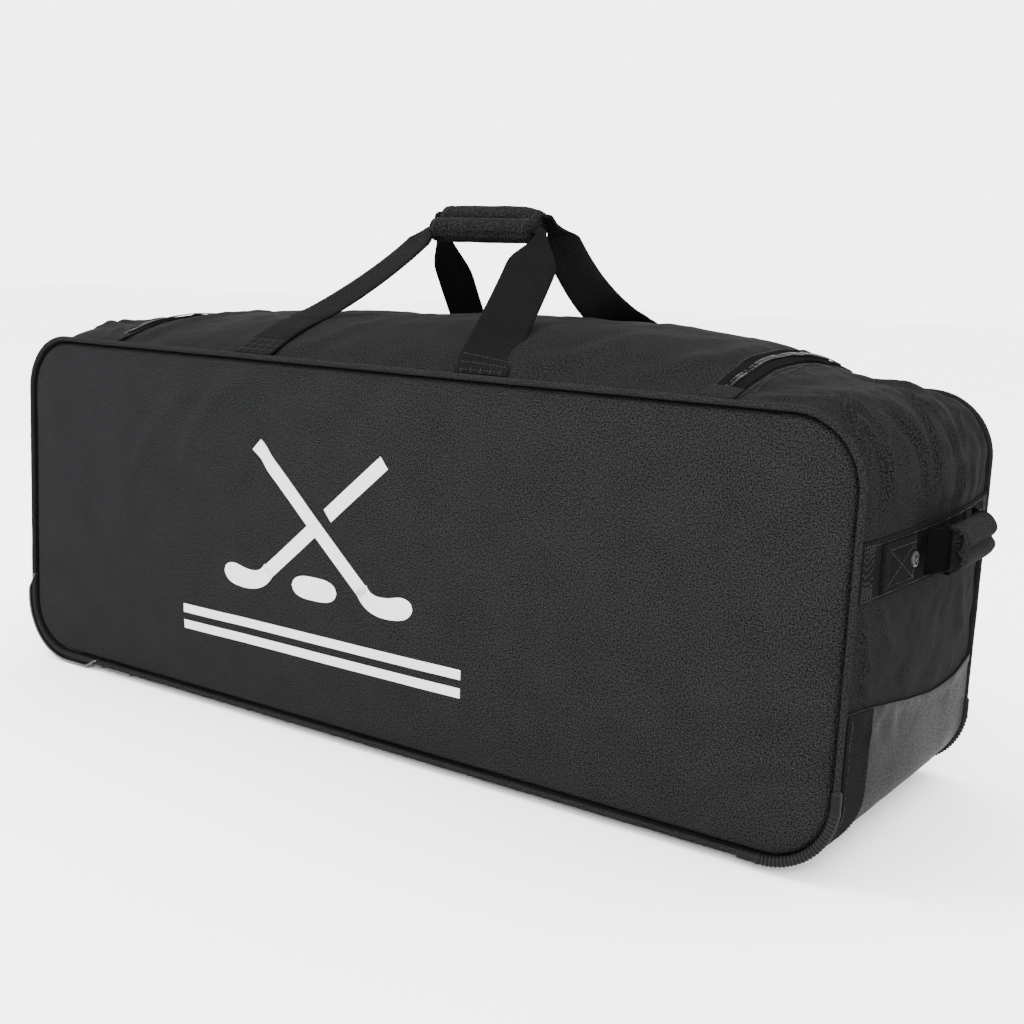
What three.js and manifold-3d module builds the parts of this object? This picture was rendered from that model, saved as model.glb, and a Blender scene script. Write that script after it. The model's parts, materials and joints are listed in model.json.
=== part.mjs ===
// Wheeled hockey equipment bag, millimetres, +Z up, +X towards the pull handle, -Y the printed front.
import * as THREE from "three";
import Module from "manifold-3d";

const wasm = await Module();
wasm.setup();

// ---- Main sizes -------------------------------------------------------------------------------
const SHIFT_X = -21.25; // puts the origin under the middle of the bounding box
const HALF_L = 508; // gusset's outer half length
const HALF_Y = 165; // gusset walls reach this far in y
const SEAM_Y = 170; // piping cords' centre line
const Z_BOT = 12;
const Z_TOP = 384;
const R_TOP = 72;
const R_BOT = 60;
const WALL = 4;
const GAP = 0.4;
const PIPE_R = 4;
const TARP_TOP = 140; // top edge of the tarpaulin at the ends

const LID_S = 374; // lid's half length
const LID_Y0 = -158;
const LID_Y1 = 104;
const ZIP_GAP = 4;

const LID_AXIS = [0, -166, 391.6];
const REAR_AXIS = [0, 166, 391.6];
const FOOT_X = 138;
const REAR_SHIFT_X = 30; // the rear handle sits further towards the pull end
const WEB = 50; // top-handle webbing
const WEB_T = 3;
const GRIP_HALF = 64;
const FRONT_GRIP = [17, -3, 524]; // middle of each grip; both sit a little towards the pull end
const REAR_GRIP = [11, 25, 538];

const BAND_Z = 264; // centre of the webbing band round the pull end
const END_HANDLE_Z = 270;
const END_HANDLE_REACH = 22; // how far the arch of the end handle stands out from its pivots
const END_PIVOT_X = 527;

const AXLE = [-470, 40];
const WHEEL_R = 40;
const HOUSING_Y0 = 96;
const HOUSING_Y1 = 164.5;

// ---- Side outline of the bag, by arc length from the top's middle, clockwise seen from the front
const S_TOP = HALF_L - R_TOP;
const S_ARC1 = S_TOP + (R_TOP * Math.PI) / 2;
const S_SIDE = S_ARC1 + (Z_TOP - R_TOP - (Z_BOT + R_BOT));
const S_ARC2 = S_SIDE + (R_BOT * Math.PI) / 2;
const S_END = S_ARC2 + HALF_L - R_BOT;
const sAtZ = (z) => S_ARC1 + (Z_TOP - R_TOP - z);

/** Point and outward normal of the side outline: [x, z, nx, nz]. */
function outline(s) {
  const side = s < 0 ? -1 : 1;
  const a = Math.abs(s);
  if (a <= S_TOP) return [s, Z_TOP, 0, 1];
  if (a <= S_ARC1) {
    const t = (a - S_TOP) / R_TOP;
    const nx = Math.sin(t);
    const nz = Math.cos(t);
    return [side * (S_TOP + R_TOP * nx), Z_TOP - R_TOP + R_TOP * nz, side * nx, nz];
  }
  if (a <= S_SIDE) return [side * HALF_L, Z_TOP - R_TOP - (a - S_ARC1), side, 0];
  if (a <= S_ARC2) {
    const t = (a - S_SIDE) / R_BOT;
    const nx = Math.cos(t);
    const nz = -Math.sin(t);
    const cx = HALF_L - R_BOT;
    return [side * (cx + R_BOT * nx), Z_BOT + R_BOT + R_BOT * nz, side * nx, nz];
  }
  return [side * (HALF_L - R_BOT - (a - S_ARC2)), Z_BOT, 0, -1];
}

/** Value from a table of [position, value] rows, straight between rows. */
function table(rows, a) {
  if (a <= rows[0][0]) return rows[0][1];
  for (let i = 1; i < rows.length; i++) {
    if (a <= rows[i][0]) {
      const t = (a - rows[i - 1][0]) / (rows[i][0] - rows[i - 1][0]);
      return rows[i - 1][1] * (1 - t) + rows[i][1] * t;
    }
  }
  return rows[rows.length - 1][1];
}

const BULGE_PULL = [[250, 49], [340, 43], [400, 30], [436, 22], [492, 13], [550, 11], [650, 10], [760, 5], [883, 0]];
const BULGE_WHEEL = [[250, 49], [340, 41], [400, 33], [436, 30], [492, 22], [550, 14], [610, 8], [690, 0]];
const Y_GRID = [0, 40, 75, 105, 130, 150, HALF_Y];
const DOME = Y_GRID.map((y) => [y, 1 - (y / HALF_Y) ** 2.2]);

/** Point of the gusset's skin at arc length s and depth y, raised by off. */
function skin(s, y, off = 0) {
  const [x, z, nx, nz] = outline(s);
  const swell = table(s < 0 ? BULGE_WHEEL : BULGE_PULL, Math.abs(s));
  const h = off + swell * table(DOME, Math.abs(y));
  return [x + nx * h, y, z + nz * h];
}

// ---- Solids -----------------------------------------------------------------------------------
/** Closed geometry from points and triangles, turned to face out. */
function solid(points, tris) {
  let volume = 0;
  const v = new THREE.Vector3();
  const w = new THREE.Vector3();
  const u = new THREE.Vector3();
  for (const [a, b, c] of tris) {
    v.fromArray(points[a]);
    w.fromArray(points[b]);
    u.fromArray(points[c]);
    volume += v.dot(w.clone().cross(u));
  }
  const index = tris.flatMap(([a, b, c]) => (volume < 0 ? [a, c, b] : [a, b, c]));
  const g = new THREE.BufferGeometry();
  g.setAttribute("position", new THREE.Float32BufferAttribute(points.flat(), 3));
  g.setIndex(index);
  return g;
}

/** A plate between two surfaces over a grid of values; loop closes it along the first value. */
function plate(us, vs, outer, inner, loop = false) {
  const points = [];
  const tris = [];
  const nu = us.length;
  const nv = vs.length;
  for (const f of [outer, inner]) {
    for (const u of us) for (const v of vs) points.push(f(u, v));
  }
  const at = (side, i, j) => side * nu * nv + (i % nu) * nv + j;
  const quad = (a, b, c, d) => tris.push([a, b, c], [a, c, d]);
  const last = loop ? nu : nu - 1;
  for (let i = 0; i < last; i++) {
    for (let j = 0; j < nv - 1; j++) {
      quad(at(0, i, j), at(0, i + 1, j), at(0, i + 1, j + 1), at(0, i, j + 1));
      quad(at(1, i, j), at(1, i, j + 1), at(1, i + 1, j + 1), at(1, i + 1, j));
    }
    quad(at(0, i, 0), at(1, i, 0), at(1, i + 1, 0), at(0, i + 1, 0));
    quad(at(0, i, nv - 1), at(0, i + 1, nv - 1), at(1, i + 1, nv - 1), at(1, i, nv - 1));
  }
  if (!loop) {
    for (let j = 0; j < nv - 1; j++) {
      quad(at(0, 0, j), at(0, 0, j + 1), at(1, 0, j + 1), at(1, 0, j));
      const k = nu - 1;
      quad(at(0, k, j), at(1, k, j), at(1, k, j + 1), at(0, k, j + 1));
    }
  }
  return solid(points, tris);
}

const span = (a, b, n) => Array.from({ length: n + 1 }, (_, i) => a + ((b - a) * i) / n);

/** Fixed stations round the outline, so that pieces laid on each other share their facets. */
function everyStation(straight, arc) {
  const marks = [0, S_TOP, S_ARC1, S_SIDE, S_ARC2, S_END];
  const out = BULGE_PULL.map(([s]) => s).concat([610, 690]).filter((s) => s < S_TOP || s > S_ARC1);
  for (let i = 1; i < marks.length; i++) {
    const step = i % 2 === 0 ? arc : straight;
    const n = Math.max(1, Math.round((marks[i] - marks[i - 1]) / step));
    out.push(...span(marks[i - 1], marks[i], n));
  }
  const all = out.flatMap((s) => [-s, s]).sort((a, b) => a - b);
  return all.filter((s, i) => i === 0 || s - all[i - 1] > 3);
}
const FINE = everyStation(125, 12);
const COARSE = everyStation(220, 24);

/** Stations from s0 to s1 taken from a fixed list, with both ends. */
const stations = (s0, s1, list = FINE) => [s0, ...list.filter((s) => s > s0 + 1 && s < s1 - 1), s1];
const depths = (y0, y1) => {
  const marks = Y_GRID.flatMap((y) => [-y, y]).sort((a, b) => a - b);
  return [y0, ...marks.filter((y, i) => y > y0 + 0.6 && y < y1 - 0.6 && y !== marks[i - 1]), y1];
};

/** A piece of the gusset's skin: off is its outer face's height, t its thickness. */
function patch(s0, s1, y0, y1, off = 0, t = WALL) {
  const f = (o) => (s, y) => skin(s, y, o);
  return plate(stations(s0, s1), depths(y0, y1), f(off), f(off - t));
}

/** Domed front or rear wall: side is -1 for the front. */
function domed(side, inset, face, swell, t) {
  const ring = stations(-S_END, S_END, COARSE).slice(0, -1);
  const rows = [0.3, 0.6, 0.85, 1];
  const points = [];
  const tris = [];
  const mid = (Z_TOP + Z_BOT) / 2;
  const cap = (r, o) => side * (face + swell * (1 - r ** 2.4) + o);
  for (const o of [0, -t]) {
    points.push([0, cap(0, o), mid]);
    for (const r of rows) {
      for (const s of ring) {
        const [x, z, nx, nz] = outline(s);
        const px = x - nx * inset;
        const pz = z - nz * inset;
        points.push([px * r, cap(r, o), mid + (pz - mid) * r]);
      }
    }
  }
  const n = ring.length;
  const half = 1 + rows.length * n;
  for (const b of [0, half]) {
    const flip = b > 0;
    const add = (p, q, r) => tris.push(flip ? [p, r, q] : [p, q, r]);
    for (let i = 0; i < n; i++) {
      const j = (i + 1) % n;
      add(b, b + 1 + i, b + 1 + j);
      for (let k = 0; k < rows.length - 1; k++) {
        const p = b + 1 + k * n;
        add(p + i, p + n + i, p + n + j);
        add(p + i, p + n + j, p + j);
      }
    }
  }
  const rim = 1 + (rows.length - 1) * n;
  for (let i = 0; i < n; i++) {
    const j = (i + 1) % n;
    tris.push([rim + i, half + rim + i, half + rim + j], [rim + i, half + rim + j, rim + j]);
  }
  return solid(points, tris);
}

/** Sweeps a closed profile of [a, b] pairs along frames {p, n, m}; loop joins the ends. */
function sweep(frames, profile, loop = false) {
  const points = [];
  const tris = [];
  const k = profile.length;
  frames.forEach((f, i) => {
    const shape = typeof profile === "function" ? profile(i) : profile;
    for (const [a, b] of shape) {
      points.push([0, 1, 2].map((c) => f.p[c] + f.n[c] * a + f.m[c] * b));
    }
  });
  const count = typeof profile === "function" ? profile(0).length : k;
  const last = loop ? frames.length : frames.length - 1;
  for (let i = 0; i < last; i++) {
    const a = i * count;
    const b = ((i + 1) % frames.length) * count;
    for (let j = 0; j < count; j++) {
      const q = (j + 1) % count;
      tris.push([a + j, b + j, b + q], [a + j, b + q, a + q]);
    }
  }
  if (!loop) {
    const flat = (typeof profile === "function" ? profile(0) : profile).map(([a, b]) => new THREE.Vector2(a, b));
    const caps = THREE.ShapeUtils.triangulateShape(flat, []);
    const e = (frames.length - 1) * count;
    const turned = THREE.ShapeUtils.isClockWise(flat);
    for (const [a, b, c] of caps) {
      const [p, q] = turned ? [c, a] : [a, c];
      tris.push([p, b, q], [e + q, e + b, e + p]);
    }
  }
  return solid(points, tris);
}

/** Frames along the outline at depth y: n points out of the bag, m along +Y. */
const seamFrames = (ss, y) =>
  ss.map((s) => {
    const [x, z, nx, nz] = outline(s);
    return { p: [x, y, z], n: [nx, 0, nz], m: [0, 1, 0] };
  });

const circle = (r, n) =>
  span(0, 2 * Math.PI, n)
    .slice(0, -1)
    .map((t) => [r * Math.cos(t), r * Math.sin(t)]);

// ---- Booleans ---------------------------------------------------------------------------------
/** Manifold of a geometry. */
function toManifold(g) {
  const p = g.getAttribute("position").array;
  const idx = g.index ? g.index.array : Uint32Array.from({ length: p.length / 3 }, (_, i) => i);
  const mesh = new wasm.Mesh({
    numProp: 3,
    vertProperties: Float32Array.from(p),
    triVerts: Uint32Array.from(idx),
  });
  mesh.merge();
  return new wasm.Manifold(mesh);
}

/** Geometry of a manifold. */
function fromManifold(m) {
  const mesh = m.getMesh();
  const g = new THREE.BufferGeometry();
  const pos = new Float32Array(mesh.numVert * 3);
  for (let i = 0; i < mesh.numVert; i++) {
    for (let c = 0; c < 3; c++) pos[i * 3 + c] = mesh.vertProperties[i * mesh.numProp + c];
  }
  g.setAttribute("position", new THREE.BufferAttribute(pos, 3));
  g.setIndex(Array.from(mesh.triVerts));
  return g;
}

const cut = (g, ...tools) => fromManifold(tools.reduce((m, t) => m.subtract(t), toManifold(g)));
const join = (...gs) => fromManifold(gs.map(toManifold).reduce((a, b) => a.add(b)));

/** Box manifold between two corners. */
const boxM = (a, b) =>
  wasm.Manifold.cube([b[0] - a[0], b[1] - a[1], b[2] - a[2]]).translate(a);

/** Cylinder manifold along x, y or z between two values, at the other two coordinates. */
function cylM(axis, lo, hi, r, u, v, n = 24, r2 = r) {
  const c = wasm.Manifold.cylinder(hi - lo, r, r2, n);
  if (axis === "z") return c.translate([u, v, lo]);
  if (axis === "y") return c.rotate([-90, 0, 0]).translate([u, lo, v]);
  return c.rotate([0, 90, 0]).translate([lo, u, v]);
}

/** Flat x-z shape extruded from y0 to y1. */
const prism = (section, y0, y1) =>
  section
    .extrude(y1 - y0)
    .rotate([90, 0, 0])
    .translate([0, y1, 0]);

// ---- The assembly -----------------------------------------------------------------------------
const bag = new THREE.Group();
bag.position.x = SHIFT_X;

/** Adds a named mesh. */
function add(name, geometry, colour) {
  const g = geometry.isBufferGeometry ? geometry : fromManifold(geometry);
  const mesh = new THREE.Mesh(g, new THREE.MeshStandardMaterial({ color: colour }));
  mesh.name = name;
  bag.add(mesh);
  return mesh;
}

const FABRIC = 0x2f2f31;
const WEBBING = 0x1b1b1c;
const TARP = 0x4a4a4b;
const RUBBER = 0x414142;
const PLASTIC = 0x151516;
const METAL = 0x55565a;
const BOARD = 0x202022;

// Walls.
const rivetY = 72;
const rivetHole = (y, r) => cylM("x", 480, 540, r, y, BAND_Z, 16);
const S_TARP = sAtZ(TARP_TOP);
const S_ZIP = LID_S + ZIP_GAP;
const TOP_S = S_ZIP - GAP;
add("front_panel", domed(-1, PIPE_R + 0.6, 169.2, 7, 3.6), FABRIC);
add("rear_panel", domed(1, PIPE_R + 0.6, 169.2, 7, 3.6), FABRIC);
add("front_top_strip", patch(-TOP_S, TOP_S, -HALF_Y, LID_Y0 - 1, 0, WALL), FABRIC);
add("rear_top_panel", patch(-TOP_S, TOP_S, LID_Y1 + ZIP_GAP, HALF_Y, 0, WALL), FABRIC);
add(
  "pull_end_panel",
  cut(patch(S_ZIP, S_TARP - GAP, -HALF_Y, HALF_Y, 0, WALL), rivetHole(-rivetY, 3), rivetHole(rivetY, 3)),
  FABRIC,
);
add("pull_end_tarpaulin", patch(S_TARP, S_ARC2, -HALF_Y, HALF_Y, 0, 3), TARP);
add("wheel_end_panel", patch(-S_TARP + GAP, -S_ZIP, -HALF_Y, HALF_Y, 0, WALL), FABRIC);
const wells = [-1, 1].map((side) => {
  const ys = [HOUSING_Y0 - GAP, HALF_Y + 1].map((y) => side * y).sort((a, b) => a - b);
  return cylM("y", ys[0], ys[1], 49.5, AXLE[0], AXLE[1], 40);
});
add("wheel_end_tarpaulin", cut(patch(-S_ARC2, -S_TARP, -HALF_Y, HALF_Y, 0, 3), ...wells), TARP);

const RUNNERS = { front: -100, centre: 0, rear: 100 };
const SCREW_X = [-300, 380];
const screwHoles = Object.values(RUNNERS).flatMap((y) => SCREW_X.map((x) => cylM("z", 3, 30, 2.4, x, y, 12)));
const FLAT_X = HALF_L - R_BOT - GAP;
const panelBox = boxM([-FLAT_X, -HALF_Y, Z_BOT], [FLAT_X, HALF_Y, Z_BOT + 3]);
const bottom = [...wells, ...screwHoles].reduce((m, t) => m.subtract(t), panelBox);
add("bottom_panel", bottom, TARP);
const board = boxM([-412, -158, Z_BOT + 3.4], [440, 158, Z_BOT + 6.4]);
add("base_board", screwHoles.reduce((m, t) => m.subtract(t), board), BOARD);

// Piping cords and the moulded guards over them at the pull end.
const loopS = stations(-S_END, S_END).slice(0, -1);
for (const [name, side] of [["front", -1], ["rear", 1]]) {
  add(`${name}_piping`, sweep(seamFrames(loopS, side * SEAM_Y), circle(PIPE_R, 8), true), FABRIC);
  const arc = span(0, 1, 14).map((t) => ((5 + 245 * t) * Math.PI) / 180);
  const ring = [
    ...arc.map((t) => [6.3, t]),
    ...[...arc].reverse().map((t) => [4.4, t]),
  ].map(([r, t]) => [r * Math.sin(t), -side * r * Math.cos(t)]);
  const guardS = stations(sAtZ(85), S_ARC2 + 20);
  add(`corner_guard_${name}`, sweep(seamFrames(guardS, side * SEAM_Y), ring), RUBBER);
}

// Runners under the bag with their screws.
for (const [name, y] of Object.entries(RUNNERS)) {
  const bar = boxM([-330, y - 11, 0], [410, y + 11, Z_BOT - 0.4]);
  add(`runner_${name}`, screwHoles.reduce((m, t) => m.subtract(t), bar), PLASTIC);
  SCREW_X.forEach((x, i) => {
    const head = cylM("z", Z_BOT + 6.8, Z_BOT + 9, 5, x, y, 12);
    add(`runner_screw_${name}_${i + 1}`, head.add(cylM("z", 5, Z_BOT + 7, 2, x, y, 12)), METAL);
  });
}

// Wheel housings, axles and wheels.
/** Rounded side outline as a 2-D section, grown by left and down. */
function sideSection(left, down, r) {
  const pts = [[600, 600], [-HALF_L - left, 600], [-HALF_L - left, Z_BOT - down + r]];
  const cx = -HALF_L - left + r;
  const cz = Z_BOT - down + r;
  for (const t of span(0, Math.PI / 2, 12).slice(1)) pts.push([cx - r * Math.cos(t), cz - r * Math.sin(t)]);
  pts.push([600, Z_BOT - down]);
  return new wasm.CrossSection([pts], "NonZero");
}
const rect = (x0, z0, x1, z1) => wasm.CrossSection.square([x1 - x0, z1 - z0]).translate([x0, z0]);
const disc = (r) => wasm.CrossSection.circle(r, 40).translate(AXLE);
const outerEdge = sideSection(13, 9, 74);
const ringSection = outerEdge.subtract(sideSection(0.4, 0.4, R_BOT + 0.4));
const fender = ringSection.intersect(rect(-540, 0, -393, 97));
const tail = rect(-395, Z_BOT - 3, -343, Z_BOT - 0.4).add(rect(-385, 3, -343, Z_BOT - 1));
const body2 = fender.add(disc(49)).intersect(outerEdge);
for (const [name, side] of [["front", -1], ["rear", 1]]) {
  const y = (a, b) => [side * a, side * b].sort((p, q) => p - q);
  const [h0, h1] = y(HOUSING_Y0, HOUSING_Y1);
  const [c0, c1] = y(HOUSING_Y0 + 4, HOUSING_Y1 - 4);
  const [t0, t1] = y(HOUSING_Y1 - 26, HOUSING_Y1);
  const shell = prism(body2, h0, h1)
    .subtract(prism(disc(45), c0, c1))
    .add(prism(tail, t0, t1))
    .subtract(cylM("y", h0 - 1, h1 + 1, 5.3, AXLE[0], AXLE[1], 24));
  add(`wheel_housing_${name}`, shell, PLASTIC);
  const [a0, a1] = y(HOUSING_Y0 + 0.5, HOUSING_Y1 - 0.5);
  add(`wheel_axle_${name}`, cylM("y", a0, a1, 5, AXLE[0], AXLE[1], 32), METAL);
  const mid = (side * (HOUSING_Y0 + HOUSING_Y1)) / 2;
  const half = [[31.2, -13], [38, -13], [40, -9], [40, 9], [38, 13], [31.2, 13], [31.2, -13]];
  const rim = [[5.06, -15], [9, -15], [9, -7], [24, -7], [27, -12], [30.8, -12], [30.8, 12], [27, 12],
    [24, 7], [9, 7], [9, 15], [5.06, 15], [5.06, -15]];
  for (const [part, profile, n, colour] of [["tyre", half, 40, RUBBER], ["hub", rim, 32, PLASTIC]]) {
    const g = new THREE.LatheGeometry(profile.map(([r, a]) => new THREE.Vector2(r, a)), n);
    g.translate(AXLE[0], mid, 0).translate(0, 0, 0);
    const turned = g.clone().translate(0, 0, AXLE[1]);
    add(`wheel_${name}_${part}`, turned, colour);
  }
}

// Webbing strip on the tarpaulin, band, patches and rivets at the pull end.
add("tarpaulin_webbing", patch(S_TARP + 0.5, S_ARC2 + 6, -163, -114, 2.4, 2), WEBBING);
const sBand = sAtZ(BAND_Z);
const holesFor = (r) => [rivetHole(-rivetY, r), rivetHole(rivetY, r)];
add("pull_end_band", cut(patch(sBand - 25, sBand + 25, -164.5, 164.5, 2.4, 2), ...holesFor(3)), WEBBING);
for (const [name, side] of [["front", -1], ["rear", 1]]) {
  const [p0, p1] = [side * 66, side * 131].sort((a, b) => a - b);
  const piece = patch(sBand - 20, sBand + 20, p0, p1, 5, 2.2);
  add(`handle_anchor_${name}`, cut(piece, ...holesFor(3)), WEBBING);
  const face = skin(sBand, rivetY, 0)[0];
  const rivet = cylM("x", face + 5.5, face + 7.5, 6.5, side * rivetY, BAND_Z, 20, 5)
    .add(cylM("x", face - 7.5, face + 6, 2.6, side * rivetY, BAND_Z, 20))
    .add(cylM("x", face - 7.5, face - 6.4, 4, side * rivetY, BAND_Z, 20));
  add(`handle_rivet_${name}`, rivet, METAL);
  const washer = cylM("x", face - 6, face - 5, 7, side * rivetY, BAND_Z, 20)
    .subtract(cylM("x", face - 9, face, 3, side * rivetY, BAND_Z, 20));
  add(`handle_washer_${name}`, washer, METAL);
}

// Lid, zip and end tabs.
add("lid_panel", patch(-LID_S, LID_S, LID_Y0, LID_Y1, 0, WALL), FABRIC);
/** U of three skin patches joined: legs between s0 and s1, long run between y0 and y1. */
function zipU(s0, s1, y0, y1, off, t) {
  const legs = [1, -1].map((k) => {
    const [a, b] = [k * s0, k * s1].sort((p, q) => p - q);
    return patch(a, b, LID_Y0 + 3, (y0 + y1) / 2, off, t);
  });
  return join(patch(-s1, s1, y0, y1, off, t), ...legs);
}
add("zip_tape_lid", zipU(LID_S - 14, LID_S - 0.3, LID_Y1 - 14, LID_Y1 - 0.3, 1.3, 0.9), WEBBING);
add("zip_tape_body", zipU(S_ZIP + 0.3, S_ZIP + 14, LID_Y1 + 4.3, LID_Y1 + 18, 1.3, 0.9), WEBBING);
add("zip_coil", zipU(LID_S + 0.4, S_ZIP - 0.4, LID_Y1 + 0.4, LID_Y1 + 3.6, 1.2, 2.4), METAL);
for (const [name, side] of [["pull", 1], ["wheel", -1]]) {
  const [a, b] = [side * 361, side * 391].sort((p, q) => p - q);
  add(`zip_tab_${name}`, patch(a, b, -162, -144, 3.4, 1.6), FABRIC);
}

// Zip sliders and their pullers, tilted to the slope of the top.
const zipY = LID_Y1 + 2;
const slope = Math.atan2(skin(0, zipY + 1)[2] - skin(0, zipY - 1)[2], 2);
for (const [name, side] of [["pull", 1], ["wheel", -1]]) {
  const place = (m) => {
    const p = skin(0, zipY, 1.9);
    return m.rotate([(slope * 180) / Math.PI, 0, 0]).translate([p[0], p[1], p[2]]);
  };
  const x = (a, b) => [side * a, side * b].sort((p, q) => p - q);
  const [b0, b1] = x(6, 36);
  const [k0, k1] = x(14, 28);
  const bodyM = boxM([b0, -6.5, 0], [b1, 6.5, 2.6]).add(boxM([k0, -2.4, 2], [k1, 2.4, 5.6]));
  const slot = x(18.5, 23.5);
  add(`zip_slider_${name}`, place(bodyM.subtract(boxM([slot[0], -3, 2.9], [slot[1], 3, 4.4]))), METAL);
  const [p0, p1] = x(24, 60);
  const plateM = boxM([p0, -4, 6.2], [p1, 4, 7.8]).subtract(boxM([x(23, 28.5)[0], -2.8, 5], [x(23, 28.5)[1], 2.8, 9]));
  const arms = [-1, 1].map((k) => {
    const [y0, y1] = [k * 2.8, k * 4].sort((p, q) => p - q);
    const boss = cylM("y", y0, y1, 0.85, side * 21, 3.65, 12);
    return wasm.Manifold.hull([boss, boxM([x(25, 28)[0], y0, 6.2], [x(25, 28)[1], y1, 7.8])]);
  });
  const bar = cylM("y", -4, 4, 0.55, side * 21, 3.65, 12);
  add(`zip_puller_${name}`, place(plateM.add(arms[0]).add(arms[1]).add(bar)), METAL);
}

// Top handles: webbing loops from one seam foot to the other, with a padded grip each.
/** Frames along points, the width vector carried along with the least turning. */
function carried(points, width) {
  const out = [];
  let w = new THREE.Vector3(...width);
  points.forEach((p, i) => {
    const a = new THREE.Vector3(...points[Math.max(0, i - 1)]);
    const b = new THREE.Vector3(...points[Math.min(points.length - 1, i + 1)]);
    const t = b.sub(a).normalize();
    w = w.clone().addScaledVector(t, -w.dot(t)).normalize();
    const n = t.clone().cross(w);
    out.push({ p, n: n.toArray(), m: w.toArray() });
  });
  return out;
}
/** Sleeve: oval outside, rectangular bore, along frames. */
function sleeve(frames, a, b, boreA, boreB, n = 16) {
  const oval = circle(1, n).map(([c, s]) => [a * c, b * s]);
  const bore = circle(1, n).map(([c, s]) => {
    const k = 1 / Math.max(Math.abs(c), Math.abs(s));
    return [c * k * boreA, s * k * boreB];
  });
  const at = (shape) => (j, i) => {
    const f = frames[i];
    const [p, q] = shape[j];
    return [0, 1, 2].map((c) => f.p[c] + f.n[c] * p + f.m[c] * q);
  };
  const js = oval.map((_, j) => j);
  return plate(js, frames.map((_, i) => i), at(oval), at(bore), true);
}
for (const [name, axis, grip, side] of [
  ["front", LID_AXIS, FRONT_GRIP, -1],
  ["rear", REAR_AXIS, REAR_GRIP, 1],
]) {
  const foot = (k) => new THREE.Vector3(k * FOOT_X + (side > 0 ? REAR_SHIFT_X : 0), axis[1], axis[2]);
  const end = (k) => new THREE.Vector3(grip[0] + k * (GRIP_HALF + 7), grip[1], grip[2]);
  const rise = new THREE.Vector3(0, grip[1] - axis[1], grip[2] - axis[2]).normalize();
  const leg = (k) =>
    new THREE.CubicBezierCurve3(
      foot(k),
      foot(k).addScaledVector(rise, 40).add(new THREE.Vector3(-k * 4, 0, 0)),
      end(k).add(new THREE.Vector3(k * 20, 0, 0)).addScaledVector(rise, -12),
      end(k),
    );
  const left = leg(-1).getPoints(11);
  const right = leg(1).getPoints(11).reverse();
  const inside = [-GRIP_HALF, GRIP_HALF].map((x) => new THREE.Vector3(grip[0] + x, grip[1], grip[2]));
  const path = [...left, ...inside, ...right].map((p) => p.toArray());
  const frames = carried(path, [1, 0, 0]);
  const width = path.map((p) => {
    const d = Math.hypot(p[1] - grip[1], p[2] - grip[2]);
    return 11 + (WEB / 2 - 11) * Math.min(1, d / 70);
  });
  const thick = width.map((w) => (w < 16 ? 2.4 : WEB_T / 2));
  const rectAt = (i) => [[thick[i], -width[i]], [thick[i], width[i]], [-thick[i], width[i]], [-thick[i], -width[i]]];
  add(`${name}_handle_webbing`, sweep(frames, rectAt), WEBBING);
  const gripFrames = span(-GRIP_HALF + 1, GRIP_HALF - 1, 6).map((x) => ({
    p: [grip[0] + x, grip[1], grip[2]],
    n: frames[12].n,
    m: frames[12].m,
  }));
  add(`${name}_handle_grip`, sleeve(gripFrames, 13.2, 13.6, 3, 11.6), FABRIC);
}

// End handle: an arched webbing loop with its padded grip.
const arch = (t) => [END_PIVOT_X + END_HANDLE_REACH * Math.sin(Math.PI * t) ** 0.75, -61 + 122 * t, END_HANDLE_Z];
const archPts = span(0, 1, 18).map(arch);
const archFrames = archPts.map((p, i) => {
  const a = archPts[Math.max(0, i - 1)];
  const b = archPts[Math.min(archPts.length - 1, i + 1)];
  const t = new THREE.Vector3(b[0] - a[0], b[1] - a[1], 0).normalize();
  return { p, n: [t.y, -t.x, 0], m: [0, 0, 1] };
});
const archW = archPts.map((_, i) => {
  const e = Math.min(i, archPts.length - 1 - i);
  return e === 0 ? 5 : e === 1 ? 12 : 15;
});
add(
  "end_handle_webbing",
  sweep(archFrames, (i) => [[1.3, -archW[i]], [1.3, archW[i]], [-1.3, archW[i]], [-1.3, -archW[i]]]),
  WEBBING,
);
add("end_handle_grip", sleeve(archFrames.slice(3, 16), 10.5, 20, 2.1, 15.6), FABRIC);

export default bag;
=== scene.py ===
"""Looks of a wheeled hockey equipment bag: sewn polyester body, tarpaulin base, webbing handles.

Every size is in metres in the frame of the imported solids. +X is the pull end, -Y the printed front.
"""

import json
import logging
import math
from dataclasses import dataclass, field, replace
from enum import Enum
from typing import Callable, Optional, Sequence

import bpy
import numpy as np
from mathutils import Matrix, Vector


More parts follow.
